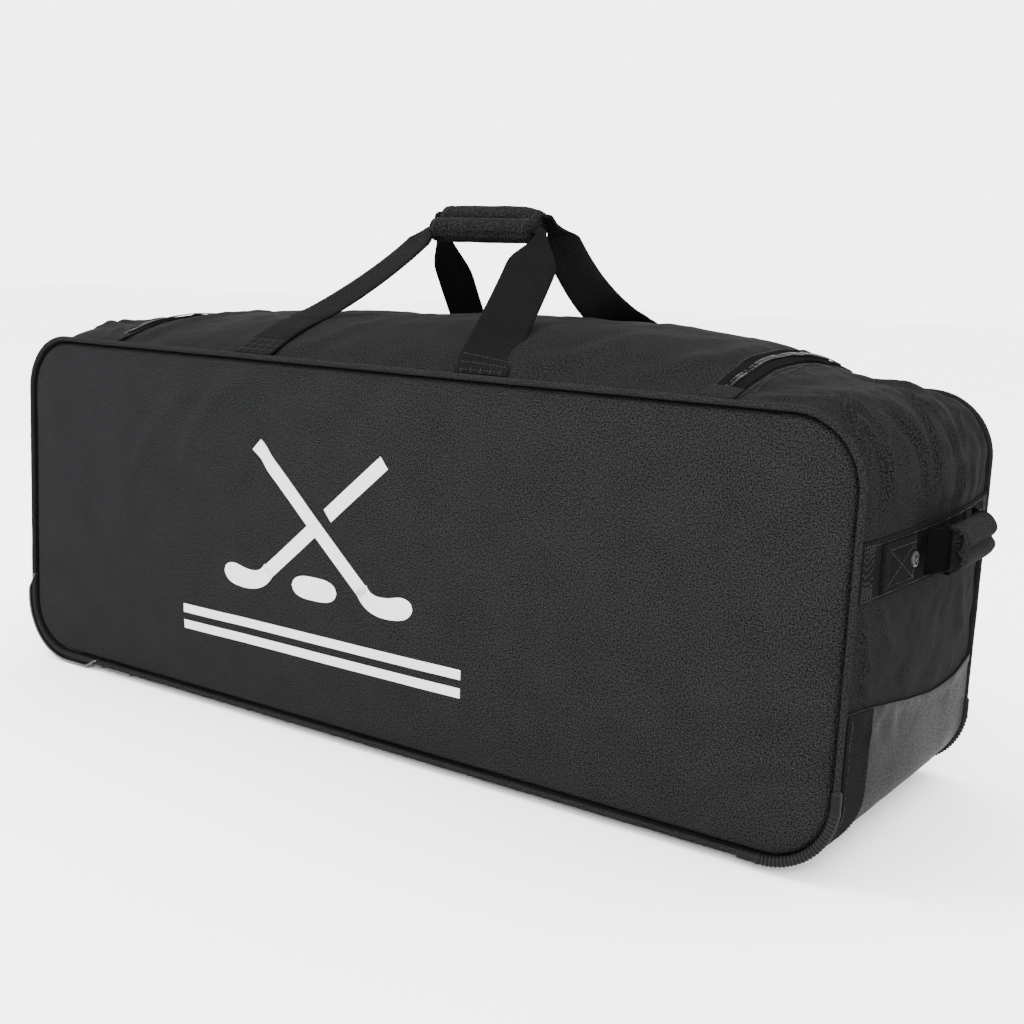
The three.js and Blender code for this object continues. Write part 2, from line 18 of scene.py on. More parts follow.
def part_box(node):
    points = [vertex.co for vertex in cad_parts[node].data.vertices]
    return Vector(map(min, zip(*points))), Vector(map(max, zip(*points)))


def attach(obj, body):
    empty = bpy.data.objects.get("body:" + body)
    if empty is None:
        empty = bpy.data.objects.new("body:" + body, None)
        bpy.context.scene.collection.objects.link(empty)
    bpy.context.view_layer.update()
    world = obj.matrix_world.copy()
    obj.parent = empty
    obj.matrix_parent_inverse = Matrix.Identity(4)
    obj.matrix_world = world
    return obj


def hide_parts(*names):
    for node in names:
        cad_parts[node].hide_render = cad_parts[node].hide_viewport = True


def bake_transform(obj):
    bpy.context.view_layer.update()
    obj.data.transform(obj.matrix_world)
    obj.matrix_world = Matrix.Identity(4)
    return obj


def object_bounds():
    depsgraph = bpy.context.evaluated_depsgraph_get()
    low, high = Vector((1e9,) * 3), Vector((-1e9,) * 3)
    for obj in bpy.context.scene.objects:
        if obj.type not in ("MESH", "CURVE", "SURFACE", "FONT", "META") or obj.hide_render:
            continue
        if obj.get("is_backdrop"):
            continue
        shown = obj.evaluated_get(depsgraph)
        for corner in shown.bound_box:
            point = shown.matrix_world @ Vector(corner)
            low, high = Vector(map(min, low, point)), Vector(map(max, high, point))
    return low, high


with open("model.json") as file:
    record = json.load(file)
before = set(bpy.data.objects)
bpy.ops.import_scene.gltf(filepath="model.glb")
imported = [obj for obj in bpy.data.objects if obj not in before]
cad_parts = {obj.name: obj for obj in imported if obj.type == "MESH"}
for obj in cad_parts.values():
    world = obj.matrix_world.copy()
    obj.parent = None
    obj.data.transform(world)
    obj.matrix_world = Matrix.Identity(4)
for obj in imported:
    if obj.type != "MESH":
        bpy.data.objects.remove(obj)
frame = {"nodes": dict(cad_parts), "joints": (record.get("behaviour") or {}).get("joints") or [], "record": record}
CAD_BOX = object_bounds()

LOG = logging.getLogger("equipment_bag")
Array = np.ndarray
MM = 0.001
# A band texture of scale 1 repeats after this many units.
BAND_PERIOD = 0.314159


# ---- Small helpers ----------------------------------------------------------------------------


def linear(hex_colour: str) -> tuple[float, float, float, float]:
    """Turns an sRGB hex colour to linear.

    Args:
        hex_colour: Six hex digits, such as "2f2f31".

    Returns:
        Linear red, green, blue and an alpha of 1.
    """
    values = [int(hex_colour[i : i + 2], 16) / 255 for i in (0, 2, 4)]
    red, green, blue = [v / 12.92 if v <= 0.04045 else ((v + 0.055) / 1.055) ** 2.4 for v in values]
    return red, green, blue, 1.0


def add_node(tree: bpy.types.NodeTree, kind: str, settings: dict, links: dict) -> bpy.types.Node:
    """Adds a shader node.

    Args:
        tree: The material's node tree.
        kind: The node's type name.
        settings: Attribute values of the node.
        links: Input name or index to a socket to link, or to a plain value.

    Returns:
        The new node.
    """
    node = tree.nodes.new(kind)
    for name, value in settings.items():
        setattr(node, name, value)
    for name, value in links.items():
        if isinstance(value, bpy.types.NodeSocket):
            tree.links.new(value, node.inputs[name])
        else:
            node.inputs[name].default_value = value
    return node


def smooth_noise(u: Array, v: Array, cell: float, seed: int) -> Array:
    """Smooth random field over two coordinates.

    Args:
        u: First coordinate, in metres.
        v: Second coordinate, in metres.
        cell: Size of one lattice cell, in metres.
        seed: Seed of the lattice values.

    Returns:
        Values from about -1 to 1, in the shape of u.
    """
    lattice = np.random.default_rng(seed).uniform(-1, 1, (64, 64))
    a, b = u / cell + 1000.0, v / cell + 1000.0
    i, j = np.floor(a).astype(int), np.floor(b).astype(int)
    f, g = a - i, b - j
    f, g = f * f * f * (f * (f * 6 - 15) + 10), g * g * g * (g * (g * 6 - 15) + 10)
    count = len(lattice)
    i, j, across, up = i % count, j % count, (i + 1) % count, (j + 1) % count
    low = lattice[i, j] * (1 - f) + lattice[across, j] * f
    high = lattice[i, up] * (1 - f) + lattice[across, up] * f
    return low * (1 - g) + high * g


def ease(t: Array) -> Array:
    """Smooth step of values clipped to 0 and 1."""
    t = np.clip(t, 0, 1)
    return t * t * (3 - 2 * t)


def joint_place(name: str) -> Array:
    """Point that a packed joint's axis passes through."""
    return np.array(next(joint for joint in frame["joints"] if joint["name"] == name)["pos_m"])


def box_middle(node: str) -> Array:
    """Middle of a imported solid's box."""
    low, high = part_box(node)
    return np.array([(a + b) / 2 for a, b in zip(low, high)])


def graded(half: float, fine: float, coarse: float, growth: float = 1.28) -> Array:
    """Stations from -half to half that crowd together at both ends.

    Args:
        half: Half the length.
        fine: First step at each end.
        coarse: Step in the middle.
        growth: How much each step grows on the last.

    Returns:
        Sorted stations.
    """
    steps, reach = [fine], fine
    while steps[-1] * growth < coarse and reach + steps[-1] * growth < half:
        steps.append(steps[-1] * growth)
        reach += steps[-1]
    left = half - reach
    count = max(1, int(round(left / coarse)))
    side = np.concatenate([[0.0], np.cumsum(steps), reach + left * np.arange(1, count + 1) / count])
    return np.concatenate([side - half, (half - side[:-1])[::-1]])


# ---- Finishes ---------------------------------------------------------------------------------


class Coordinates(Enum):
    """Where a pattern takes its coordinates from."""

    CLOTH = "UV"
    SOLID = "Object"


@dataclass(frozen=True)
class Finish:
    """A material: colour, gloss, and a pattern of fine relief and colour change.

    Scales are sizes in millimetres of one grain, thread or cloud. Heights are bump distances in mm.
    """

    name: str
    colour: str
    second_colour: str
    roughness: float
    roughness_change: float = 0.08
    metallic: float = 0.0
    ior: float = 1.5
    specular: float = 0.5
    sheen: float = 0.0
    coat: float = 0.0
    coordinates: Coordinates = Coordinates.CLOTH
    cloud_mm: float = 60.0
    cloud_share: float = 0.4
    grain_mm: float = 2.0
    grain_share: float = 0.5
    thread_mm: float = 0.0
    thread_height_mm: float = 0.0
    grain_height_mm: float = 0.1
    edge_wear: float = 0.0

    def make(self) -> bpy.types.Material:
        """Builds the node material.

        Returns:
            The material, made once and then reused by name.
        """
        if self.name in bpy.data.materials:
            return bpy.data.materials[self.name]
        material = bpy.data.materials.new(self.name)
        material.use_nodes = True
        tree = material.node_tree
        tree.nodes.clear()
        place = add_node(tree, "ShaderNodeTexCoord", {}, {}).outputs[self.coordinates.value]
        cloud = add_node(
            tree,
            "ShaderNodeTexNoise",
            {},
            {"Vector": place, "Scale": 1 / (self.cloud_mm * MM), "Detail": 3.0, "Roughness": 0.6},
        ).outputs[0]
        grain = add_node(
            tree,
            "ShaderNodeTexNoise",
            {},
            {"Vector": place, "Scale": 1 / (self.grain_mm * MM), "Detail": 2.0, "Roughness": 0.6},
        ).outputs[0]
        blend = self._mixed(tree, cloud, grain)
        colour = add_node(
            tree,
            "ShaderNodeMix",
            {"data_type": "RGBA"},
            {0: blend, 6: linear(self.colour), 7: linear(self.second_colour)},
        ).outputs[2]
        if self.edge_wear:
            colour = self._worn(tree, colour)
        rough = add_node(
            tree,
            "ShaderNodeMapRange",
            {},
            {0: blend, 3: self.roughness - self.roughness_change, 4: self.roughness + self.roughness_change},
        ).outputs[0]
        normal = self._relief(tree, place, grain)
        surface = add_node(
            tree,
            "ShaderNodeBsdfPrincipled",
            {},
            {
                "Base Color": colour,
                "Roughness": rough,
                "Metallic": self.metallic,
                "IOR": self.ior,
                "Specular IOR Level": self.specular,
                "Sheen Weight": self.sheen,
                "Sheen Roughness": 0.5,
                "Coat Weight": self.coat,
                "Coat Roughness": 0.25,
                "Normal": normal,
            },
        )
        add_node(tree, "ShaderNodeOutputMaterial", {}, {"Surface": surface.outputs[0]})
        return material

    def _mixed(
        self, tree: bpy.types.NodeTree, cloud: bpy.types.NodeSocket, grain: bpy.types.NodeSocket
    ) -> bpy.types.NodeSocket:
        """Weighs the two noises about their middle.

        Args:
            tree: The material's node tree.
            cloud: Broad noise.
            grain: Fine noise.

        Returns:
            A socket from 0, the first colour, to 1, the second.
        """
        broad = add_node(
            tree,
            "ShaderNodeMath",
            {"operation": "MULTIPLY_ADD"},
            {0: cloud, 1: 2 * self.cloud_share, 2: 0.5 - self.cloud_share},
        )
        fine = add_node(
            tree,
            "ShaderNodeMath",
            {"operation": "MULTIPLY_ADD"},
            {0: grain, 1: 2 * self.grain_share, 2: -self.grain_share},
        )
        return add_node(
            tree,
            "ShaderNodeMath",
            {"operation": "ADD", "use_clamp": True},
            {0: broad.outputs[0], 1: fine.outputs[0]},
        ).outputs[0]

    def _worn(self, tree: bpy.types.NodeTree, colour: bpy.types.NodeSocket) -> bpy.types.NodeSocket:
        """Lightens sharp edges, as rubbing does.

        Args:
            tree: The material's node tree.
            colour: Colour of the unworn surface.

        Returns:
            The colour socket.
        """
        point = add_node(tree, "ShaderNodeNewGeometry", {}, {}).outputs["Pointiness"]
        share = add_node(
            tree, "ShaderNodeMapRange", {}, {0: point, 1: 0.52, 2: 0.62, 4: self.edge_wear}
        ).outputs[0]
        return add_node(
            tree, "ShaderNodeMix", {"data_type": "RGBA"}, {0: share, 6: colour, 7: linear("5c5c5d")}
        ).outputs[2]

    def _relief(
        self, tree: bpy.types.NodeTree, place: bpy.types.NodeSocket, grain: bpy.types.NodeSocket
    ) -> bpy.types.NodeSocket:
        """Bump of grain and crossed threads.

        Args:
            tree: The material's node tree.
            place: Coordinates of the pattern.
            grain: Fine noise.

        Returns:
            The normal socket.
        """
        normal = add_node(
            tree,
            "ShaderNodeBump",
            {},
            {"Height": grain, "Strength": 1.0, "Distance": self.grain_height_mm * MM},
        ).outputs[0]
        for axis in "XY" if self.thread_mm and self.thread_height_mm else "":
            wave = add_node(
                tree,
                "ShaderNodeTexWave",
                {"wave_type": "BANDS", "bands_direction": axis},
                {"Vector": place, "Scale": BAND_PERIOD / (self.thread_mm * MM)},
            )
            normal = add_node(
                tree,
                "ShaderNodeBump",
                {},
                {"Height": wave.outputs[1], "Distance": self.thread_height_mm * MM, "Normal": normal},
            ).outputs[0]
        return normal


# 600-denier polyester, plain woven and dyed black: matt, with mixed lighter threads that read as
# a salt-and-pepper grain. The real 0.5 mm threads are drawn as 1.4 mm so that they show.
POLYESTER = Finish(
    "woven_polyester", "010101", "202021", 0.9, specular=0.01, cloud_mm=45, cloud_share=0.10,
    grain_mm=1.3, grain_share=1.7, thread_mm=1.4, thread_height_mm=0.04, grain_height_mm=0.04,
)
# The same cloth on the gusset and lid, where folds rub and open the weave: a coarser, stronger grain.
GUSSET = replace(
    POLYESTER, name="woven_polyester_gusset", second_colour="1b1b1c", grain_mm=1.45, grain_share=2.1
)
# The same cloth seen from its coated side: smoother and a little greyer.
LINING = Finish(
    "coated_lining", "1b1b1d", "28282a", 0.62, specular=0.2, cloud_mm=70, cloud_share=0.4,
    grain_mm=3, grain_share=0.3, thread_mm=2.0, thread_height_mm=0.06,
)
# PVC tarpaulin, calendered: satin dark grey that catches broad soft light, with faint rub marks.
TARPAULIN = Finish(
    "pvc_tarpaulin", "0e0e0f", "161617", 0.55, specular=0.02, cloud_mm=60, cloud_share=0.45,
    grain_mm=2.6, grain_share=2.0, grain_height_mm=0.08, roughness_change=0.12,
)
# Polypropylene webbing, ribbed weave: nearly black, slightly waxy on the rib crests.
WEBBING = Finish(
    "polypropylene_webbing", "040404", "121213", 0.8, specular=0.01, cloud_mm=30, cloud_share=0.2,
    grain_mm=1.3, grain_share=0.8, thread_mm=1.4, thread_height_mm=0.16, grain_height_mm=0.2,
)
# The same webbing made much darker: painted shade for the shadow that falls on the end handle's strap between the
# patches and the wrap.
WEBBING_PAINTED_SHADE = replace(WEBBING, name="polypropylene_webbing_painted_shade", colour="010101", second_colour="080808")
# Woven polyester zip tape: flat black.
ZIP_TAPE = Finish(
    "zip_tape_cloth", "030303", "141415", 0.8, specular=0.0, grain_mm=1.3, grain_share=0.7,
    thread_mm=1.2, thread_height_mm=0.08,
)
# Nylon coil, moulded: near black with a soft shine on each turn.
COIL = Finish(
    "nylon_coil", "121214", "1c1c1e", 0.45, specular=0.06, coordinates=Coordinates.SOLID,
    cloud_mm=20, grain_mm=1.0, grain_height_mm=0.02,
)
# Padded grip cloth: the body's polyester in a finer weave over foam.
GRIP = Finish(
    "grip_polyester", "010101", "1b1b1c", 0.85, specular=0.01, cloud_mm=20, cloud_share=0.25,
    grain_mm=2.0, grain_share=1.8, thread_mm=1.3, thread_height_mm=0.12, grain_height_mm=0.22,
)
# Moulded rubber: near black, satin, greyer where it rubs.
RUBBER = Finish(
    "moulded_rubber", "0a0a0b", "101011", 0.5, specular=0.04, coordinates=Coordinates.SOLID,
    cloud_mm=18, cloud_share=0.4, grain_mm=0.9, grain_share=0.3, grain_height_mm=0.03, edge_wear=0.25,
)
# ABS housing, injection moulded with a light texture: black with a broad highlight.
ABS = Finish(
    "moulded_abs", "0a0a0b", "131314", 0.33, specular=0.4, coordinates=Coordinates.SOLID,
    cloud_mm=30, cloud_share=0.4, grain_mm=1.0, grain_share=0.3, grain_height_mm=0.03, edge_wear=0.3,
)
# Nylon hub, moulded and matt.
NYLON = Finish(
    "moulded_nylon", "151517", "202022", 0.5, coordinates=Coordinates.SOLID, cloud_mm=15, grain_mm=0.8,
    grain_height_mm=0.02, edge_wear=0.2,
)
# Cast polyurethane tyre: rubbery black with floor dust in the pores.
POLYURETHANE = Finish(
    "cast_polyurethane", "0c0c0d", "1b1a19", 0.6, coordinates=Coordinates.SOLID, cloud_mm=12, cloud_share=0.5,
    grain_mm=0.8, grain_share=0.3, grain_height_mm=0.05, edge_wear=0.15,
)
# Extruded polyethylene board with a haircell face.
POLYETHYLENE = Finish(
    "haircell_polyethylene", "101011", "19191b", 0.5, coordinates=Coordinates.SOLID, cloud_mm=40,
    grain_mm=1.6, grain_share=0.4, grain_height_mm=0.12,
)
# Zinc die casting, plated gunmetal: dark satin metal worn lighter at the edges.
GUNMETAL = Finish(
    "gunmetal_plating", "151517", "242426", 0.42, metallic=1.0, coordinates=Coordinates.SOLID, cloud_mm=6,
    grain_mm=0.5, grain_share=0.3, grain_height_mm=0.01, edge_wear=0.6,
)
# Turned and zinc-plated steel.
STEEL = Finish(
    "zinc_plated_steel", "8d8e91", "a6a7aa", 0.3, metallic=1.0, coordinates=Coordinates.SOLID, cloud_mm=8,
    grain_mm=0.6, grain_share=0.3, grain_height_mm=0.01,
)
# Plastisol screen print: opaque white ink that lets the weave show through.
INK = Finish(
    "plastisol_ink", "a8a8a8", "bebebe", 0.7, specular=0.1, cloud_mm=30, cloud_share=0.3, grain_mm=1.5,
    grain_share=0.35, thread_mm=1.6, thread_height_mm=0.10, grain_height_mm=0.10,
)
# Bonded nylon thread, charcoal with a slight shine.
THREAD = Finish(
    "bonded_thread", "1c1c1d", "2b2b2c", 0.6, specular=0.05, coordinates=Coordinates.SOLID, cloud_mm=10,
    grain_mm=0.6, grain_height_mm=0.03,
)
# Painted studio floor, matt and pale.
FLOOR = Finish(
    "matt_floor_paint", "f4f4f4", "f6f6f6", 0.9, specular=0.0, coordinates=Coordinates.SOLID, cloud_mm=900,
    grain_mm=40, grain_share=0.1, grain_height_mm=0.0,
)


# ---- Meshes -----------------------------------------------------------------------------------


def mesh_piece(
    name: str,
    points: Array,
    faces: Sequence[Sequence[int]],
    finishes: Sequence[Finish],
    loop_uv: Optional[Array] = None,
    slots: Optional[Sequence[int]] = None,
) -> bpy.types.Object:
    """Makes a smooth-shaded mesh object, turned to face out.

    Args:
        name: The piece's name.
        points: Vertex positions, n by 3.
        faces: Vertex numbers of each face.
        finishes: Materials, in slot order.
        loop_uv: One pair of cloth coordinates for each face corner, in face order.
        slots: Material slot of each face.

    Returns:
        The object, linked to the scene.
    """
    mesh = bpy.data.meshes.new(name)
    mesh.from_pydata([tuple(p) for p in np.asarray(points, float)], [], [tuple(f) for f in faces])
    if loop_uv is not None:
        mesh.uv_layers.new(name="cloth").data.foreach_set("uv", np.asarray(loop_uv, np.float32).ravel())
    if slots is not None:
        mesh.polygons.foreach_set("material_index", list(slots))
    mesh.polygons.foreach_set("use_smooth", [True] * len(mesh.polygons))
    mesh.calc_loop_triangles()
    corners = np.array([t.vertices for t in mesh.loop_triangles])
    co = np.asarray(points, float)
    a, b, c = co[corners[:, 0]], co[corners[:, 1]], co[corners[:, 2]]
    if float(np.einsum("ij,ij->i", a, np.cross(b, c)).sum()) < 0:
        mesh.flip_normals()
    mesh.update()
    piece = bpy.data.objects.new(name, mesh)
    bpy.context.scene.collection.objects.link(piece)
    for finish in finishes:
        mesh.materials.append(finish.make())
    mesh.set_sharp_from_angle(angle=math.radians(50))
    return piece


def grid_faces(rows: int, columns: int, start: int, wrap: bool = False) -> list[tuple[int, int, int, int]]:
    """Quads of a grid of vertices.

    Args:
        rows: Number of rows.
        columns: Number of vertices in a row.
        start: Number of the first vertex.
        wrap: Whether each row closes on itself.

    Returns:
        The quads.
    """
    last = columns if wrap else columns - 1
    out = []
    for i in range(rows - 1):
        for j in range(last):
            k = (j + 1) % columns
            a, b = start + i * columns, start + (i + 1) * columns
            out.append((a + j, b + j, b + k, a + k))
    return out


def shell(name: str, outer: Array, inner: Array, uv: Array, finishes: Sequence[Finish]) -> bpy.types.Object:
    """Closed skin between two grids of points.

    Args:
        name: The piece's name.
        outer: Outer surface, rows by columns by 3.
        inner: Inner surface, the same shape.
        uv: Cloth coordinates of the grid, rows by columns by 2.
        finishes: Outer finish and inner finish.

    Returns:
        The object.
    """
    rows, columns = outer.shape[:2]
    count = rows * columns
    points = np.concatenate([outer.reshape(-1, 3), inner.reshape(-1, 3)])
    front = grid_faces(rows, columns, 0)
    back = [f[::-1] for f in grid_faces(rows, columns, count)]
    border = [j for j in range(columns)]
    border += [i * columns + columns - 1 for i in range(1, rows)]
    border += [(rows - 1) * columns + j for j in range(columns - 2, -1, -1)]
    border += [i * columns for i in range(rows - 2, 0, -1)]
    rim = [(a, b, b + count, a + count) for a, b in zip(border, border[1:] + border[:1])]
    faces = front + back + rim
    flat = np.concatenate([uv.reshape(-1, 2)] * 2)
    loop_uv = flat[np.array([v for f in faces for v in f])]
    slots = [0] * len(front) + [len(finishes) - 1] * len(back) + [0] * len(rim)
    return mesh_piece(name, points, faces, finishes, loop_uv, slots)


def loft(
    name: str,
    rings: Array,
    finishes: Sequence[Finish],
    along: Optional[Array] = None,
    closed: bool = False,
) -> bpy.types.Object:
    """Skin over rings of points, with flat ends unless it closes on itself.

    Args:
        name: The piece's name.
        rings: Rings by points by 3.
        finishes: Materials.
        along: Distance of each ring along the piece, for the cloth coordinates.
        closed: Whether the last ring joins the first.

    Returns:
        The object.
    """
    count, size = rings.shape[:2]
    if along is None:
        steps = np.linalg.norm(np.diff(rings.mean(axis=1), axis=0), axis=1)
        along = np.concatenate([[0.0], np.cumsum(steps)])
    sides = np.diff(np.concatenate([rings, rings[:, :1]], axis=1), axis=1)
    around = np.linalg.norm(sides, axis=2).mean(axis=0)
    across = np.concatenate([[0.0], np.cumsum(around)])
    faces, uv = [], []
    for i in range(count if closed else count - 1):
        k = (i + 1) % count
        end = along[i] + (along[1] - along[0]) if closed and k == 0 else along[k]
        for j in range(size):
            m = (j + 1) % size
            faces.append((i * size + j, k * size + j, k * size + m, i * size + m))
            uv += [(along[i], across[j]), (end, across[j]), (end, across[j + 1]), (along[i], across[j + 1])]
    if not closed:
        for ring, turn in ((0, 1), (count - 1, -1)):
            faces.append(tuple(range(ring * size, (ring + 1) * size))[::turn])
            uv += [(along[ring], v) for v in across[:-1]]
    return mesh_piece(name, rings.reshape(-1, 3), faces, finishes, uv)


def tangents(path: Array, closed: bool = False) -> Array:
    """Unit directions along a path of points."""
    if closed:
        step = np.roll(path, -1, axis=0) - np.roll(path, 1, axis=0)
    else:
        step = np.gradient(path, axis=0)
    return step / np.maximum(np.linalg.norm(step, axis=1, keepdims=True), 1e-12)


def lengths(path: Array) -> Array:
    """Distance of each point along a path."""
    return np.concatenate([[0.0], np.cumsum(np.linalg.norm(np.diff(path, axis=0), axis=1))])


def resample(path: Array, count: int) -> Array:
    """The same path with evenly spaced points."""
    d = lengths(path)
    t = np.linspace(0, d[-1], count)
    return np.stack([np.interp(t, d, path[:, c]) for c in range(path.shape[1])], axis=1)


@dataclass
class Beads:
    """Many small spindles in one mesh: stitches or zip turns."""

    name: str
    finish: Finish
    sides: int = 6
    centres: list = field(default_factory=list)
    axes: list = field(default_factory=list)
    ups: list = field(default_factory=list)

    def run(self, path: Array, normals: Array, pitch: float, sink: float = 0.0, across: bool = False) -> None:
        """Adds spindles along a path.

        Args:
            path: Points of the path.
            normals: Surface normal at each point.
            pitch: Distance between spindles.
            sink: How far each centre lies below the path.
            across: Whether each spindle lies across the path and not along it.
        """
        count = max(2, int(round(lengths(path)[-1] / pitch)))
        both = resample(np.concatenate([path, normals], axis=1), count)
        spots, up = both[:, :3], both[:, 3:]
        up = up / np.linalg.norm(up, axis=1, keepdims=True)
        ahead = tangents(spots)
        if across:
            ahead = np.cross(up, ahead)
        self.centres.append(spots - up * sink)
        self.axes.append(ahead)
        self.ups.append(up)

    def make(self, length: float, radius: float, flat: float = 0.8) -> bpy.types.Object:
        """Builds the mesh.

        Args:
            length: Length of one spindle.
            radius: Its radius at the middle.
            flat: Height of the spindle as a share of its width.

        Returns:
            The object.
        """
        centre, axis, up = (np.concatenate(v) for v in (self.centres, self.axes, self.ups))
        side = np.cross(axis, up)
        stations = [(-0.5, 0.25), (-0.34, 0.85), (0.0, 1.0), (0.34, 0.85), (0.5, 0.25)]
        turn = np.arange(self.sides) / self.sides * 2 * math.pi
        rings = []
        for t, r in stations:
            for angle in turn:
                rings.append(
                    centre + axis * t * length + side * r * radius * math.cos(angle)
                    + up * r * radius * flat * math.sin(angle)
                )
        points = np.stack(rings, axis=1)
        size = points.shape[1]
        one = grid_faces(len(stations), self.sides, 0, wrap=True)
        one += [tuple(range(self.sides))[::-1], tuple(range(size - self.sides, size))]
        faces = [tuple(v + k * size for v in f) for k in range(len(points)) for f in one]
        return mesh_piece(self.name, points.reshape(-1, 3), faces, [self.finish])


# ---- The bag's form ---------------------------------------------------------------------------


@dataclass(frozen=True)
class Fold:
    """One crease in cloth, from start to end in the cloth's own two coordinates."""

    start: tuple[float, float]
    end: tuple[float, float]
    width: float
    height: float

    def lift(self, u: Array, v: Array) -> Array:
        """Height that the crease gives at each point: a ridge with a shallow trough on each side."""
        a, b = np.array(self.start), np.array(self.end)
        d = b - a
        long = float(np.hypot(*d))
        t = ((u - a[0]) * d[0] + (v - a[1]) * d[1]) / long**2
        bow = 0.12 * long * np.sin(np.pi * np.clip(t, 0, 1)) * (1 if self.height > 0 else -1)
        off = ((u - a[0]) * d[1] - (v - a[1]) * d[0]) / long - bow
        q = off / self.width
        ends = ease((t + 0.15) / 0.4) * ease((1.15 - t) / 0.4)
        return self.height * ends * (1.25 * np.exp(-q * q) - 0.45 * np.exp(-(q * q) / 5))


# How far the gusset swells out of its seams, in millimetres, at distances in metres along the
# outline from the middle of the top: high under the lid, slack at the corners, tight at the foot.
PULL_SWELL = (
    (0, 52.5), (0.15, 57), (0.25, 55), (0.34, 43), (0.4, 24), (0.436, 14), (0.492, 9.5), (0.55, 9.5),
    (0.65, 9.3), (0.76, 5.4), (0.87, 0),
)
WHEEL_SWELL = (
    (0, 52.5), (0.15, 51), (0.25, 45), (0.34, 34.5), (0.4, 28), (0.436, 24), (0.492, 28), (0.55, 20),
    (0.61, 12), (0.69, 0),
)


@dataclass
class BagForm:
    """The side outline of the bag and the skin that swells out of it."""

    half_y: float = 0.165
    top_radius: float = 0.061
    foot_radius: float = 0.060
    pipe_radius: float = 0.004

    def __post_init__(self) -> None:
        """Reads the outline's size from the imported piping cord."""
        low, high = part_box("front_piping")
        self.middle_x = (low.x + high.x) / 2
        self.half_l = (high.x - low.x) / 2 - self.pipe_radius
        self.z_top = high.z - self.pipe_radius
        self.z_bot = low.z + self.pipe_radius
        self.seam_y = -(low.y + high.y) / 2
        self.s_top = self.half_l - self.top_radius
        self.s_arc1 = self.s_top + self.top_radius * math.pi / 2
        self.s_side = self.s_arc1 + self.z_top - self.top_radius - self.z_bot - self.foot_radius
        self.s_arc2 = self.s_side + self.foot_radius * math.pi / 2
        self.s_end = self.s_arc2 + self.half_l - self.foot_radius
        self._swell = {1: self._eased(PULL_SWELL), -1: self._eased(WHEEL_SWELL)}

    def _eased(self, rows: Sequence[tuple[float, float]]) -> tuple[Array, Array]:
        """Rounds the corners of a table of heights in millimetres."""
        s = np.linspace(0, self.s_end, 700)
        h = np.interp(s, [r[0] for r in rows], [r[1] * MM for r in rows])
        reach = 16
        kernel = np.hanning(2 * reach + 1)
        kernel /= kernel.sum()
        return s, np.convolve(np.pad(h, reach, mode="edge"), kernel, mode="valid")

    def s_at(self, z: float) -> float:
        """Arc length at height z on the pull end's straight wall."""
        return self.s_arc1 + self.z_top - self.top_radius - z

    def outline(self, s: Array) -> tuple[Array, Array]:
        """Point and outward normal in the x-z plane at arc lengths from the top's middle.

        Args:
            s: Arc lengths, positive towards the pull end.

        Returns:
            Points and normals, each with a last axis of x and z.
        """
        s = np.asarray(s, float)
        side, a = np.where(s < 0, -1.0, 1.0), np.abs(s)
        r1, r2 = self.top_radius, self.foot_radius
        t1 = np.clip((a - self.s_top) / r1, 0, math.pi / 2)
        t2 = np.clip((a - self.s_side) / r2, 0, math.pi / 2)
        turn = t1 + t2
        nx, nz = np.sin(turn), np.cos(turn)
        drop = np.clip(a - self.s_arc1, 0, self.s_side - self.s_arc1)
        back = np.clip(a - self.s_arc2, 0, None)
        x = np.minimum(a, self.s_top) + r1 * np.sin(t1) - r2 * (1 - np.cos(t2)) - back
        z = self.z_top - r1 * (1 - np.cos(t1)) - drop - r2 * np.sin(t2)
        return np.stack([self.middle_x + side * x, z], -1), np.stack([side * nx, nz], -1)

    def skin(self, s: Array, y: Array, lift: Array | float = 0.0) -> Array:
        """Points on the swelled gusset.

        Args:
            s: Arc lengths.
            y: Depths, in the shape of s.
            lift: Height above the cloth's outer face.

        Returns:
            Points with a last axis of x, y and z.
        """
        p, n = self.outline(s)
        swell = np.where(s < 0, np.interp(-s, *self._swell[-1]), np.interp(s, *self._swell[1]))
        dome = 1 - np.clip(np.abs(y) / self.half_y, 0, 1) ** 2.2
        h = lift + swell * dome
        depth = np.broadcast_to(y, h.shape)
        return np.stack([p[..., 0] + n[..., 0] * h, depth, p[..., 1] + n[..., 1] * h], -1)


# Creases that the eye picks out: where the carry loops pull, where the lid's cloth gathers beside
# its zip, and fans of folds at the head and the foot of each end.
TOP_FOLDS = (
    Fold((-0.350, -0.150), (-0.344, 0.100), 0.013, 0.0065),
    Fold((-0.155, -0.150), (-0.250, -0.060), 0.012, 0.0035),
    Fold((-0.120, -0.155), (-0.060, -0.080), 0.010, 0.0028),
    Fold((0.120, -0.155), (0.060, -0.070), 0.011, 0.0030),
    Fold((0.170, -0.150), (0.250, -0.070), 0.013, 0.0038),
    Fold((0.300, -0.140), (0.350, -0.020), 0.012, 0.0030),
    Fold((-0.340, -0.130), (-0.300, 0.010), 0.013, -0.0030),
    Fold((-0.040, 0.010), (0.120, 0.030), 0.020, 0.0025),
    Fold((-0.260, 0.030), (-0.120, 0.060), 0.018, -0.0025),
    Fold((0.150, 0.120), (0.230, 0.155), 0.010, 0.0030),
    Fold((-0.150, 0.120), (-0.230, 0.155), 0.010, 0.0030),
)
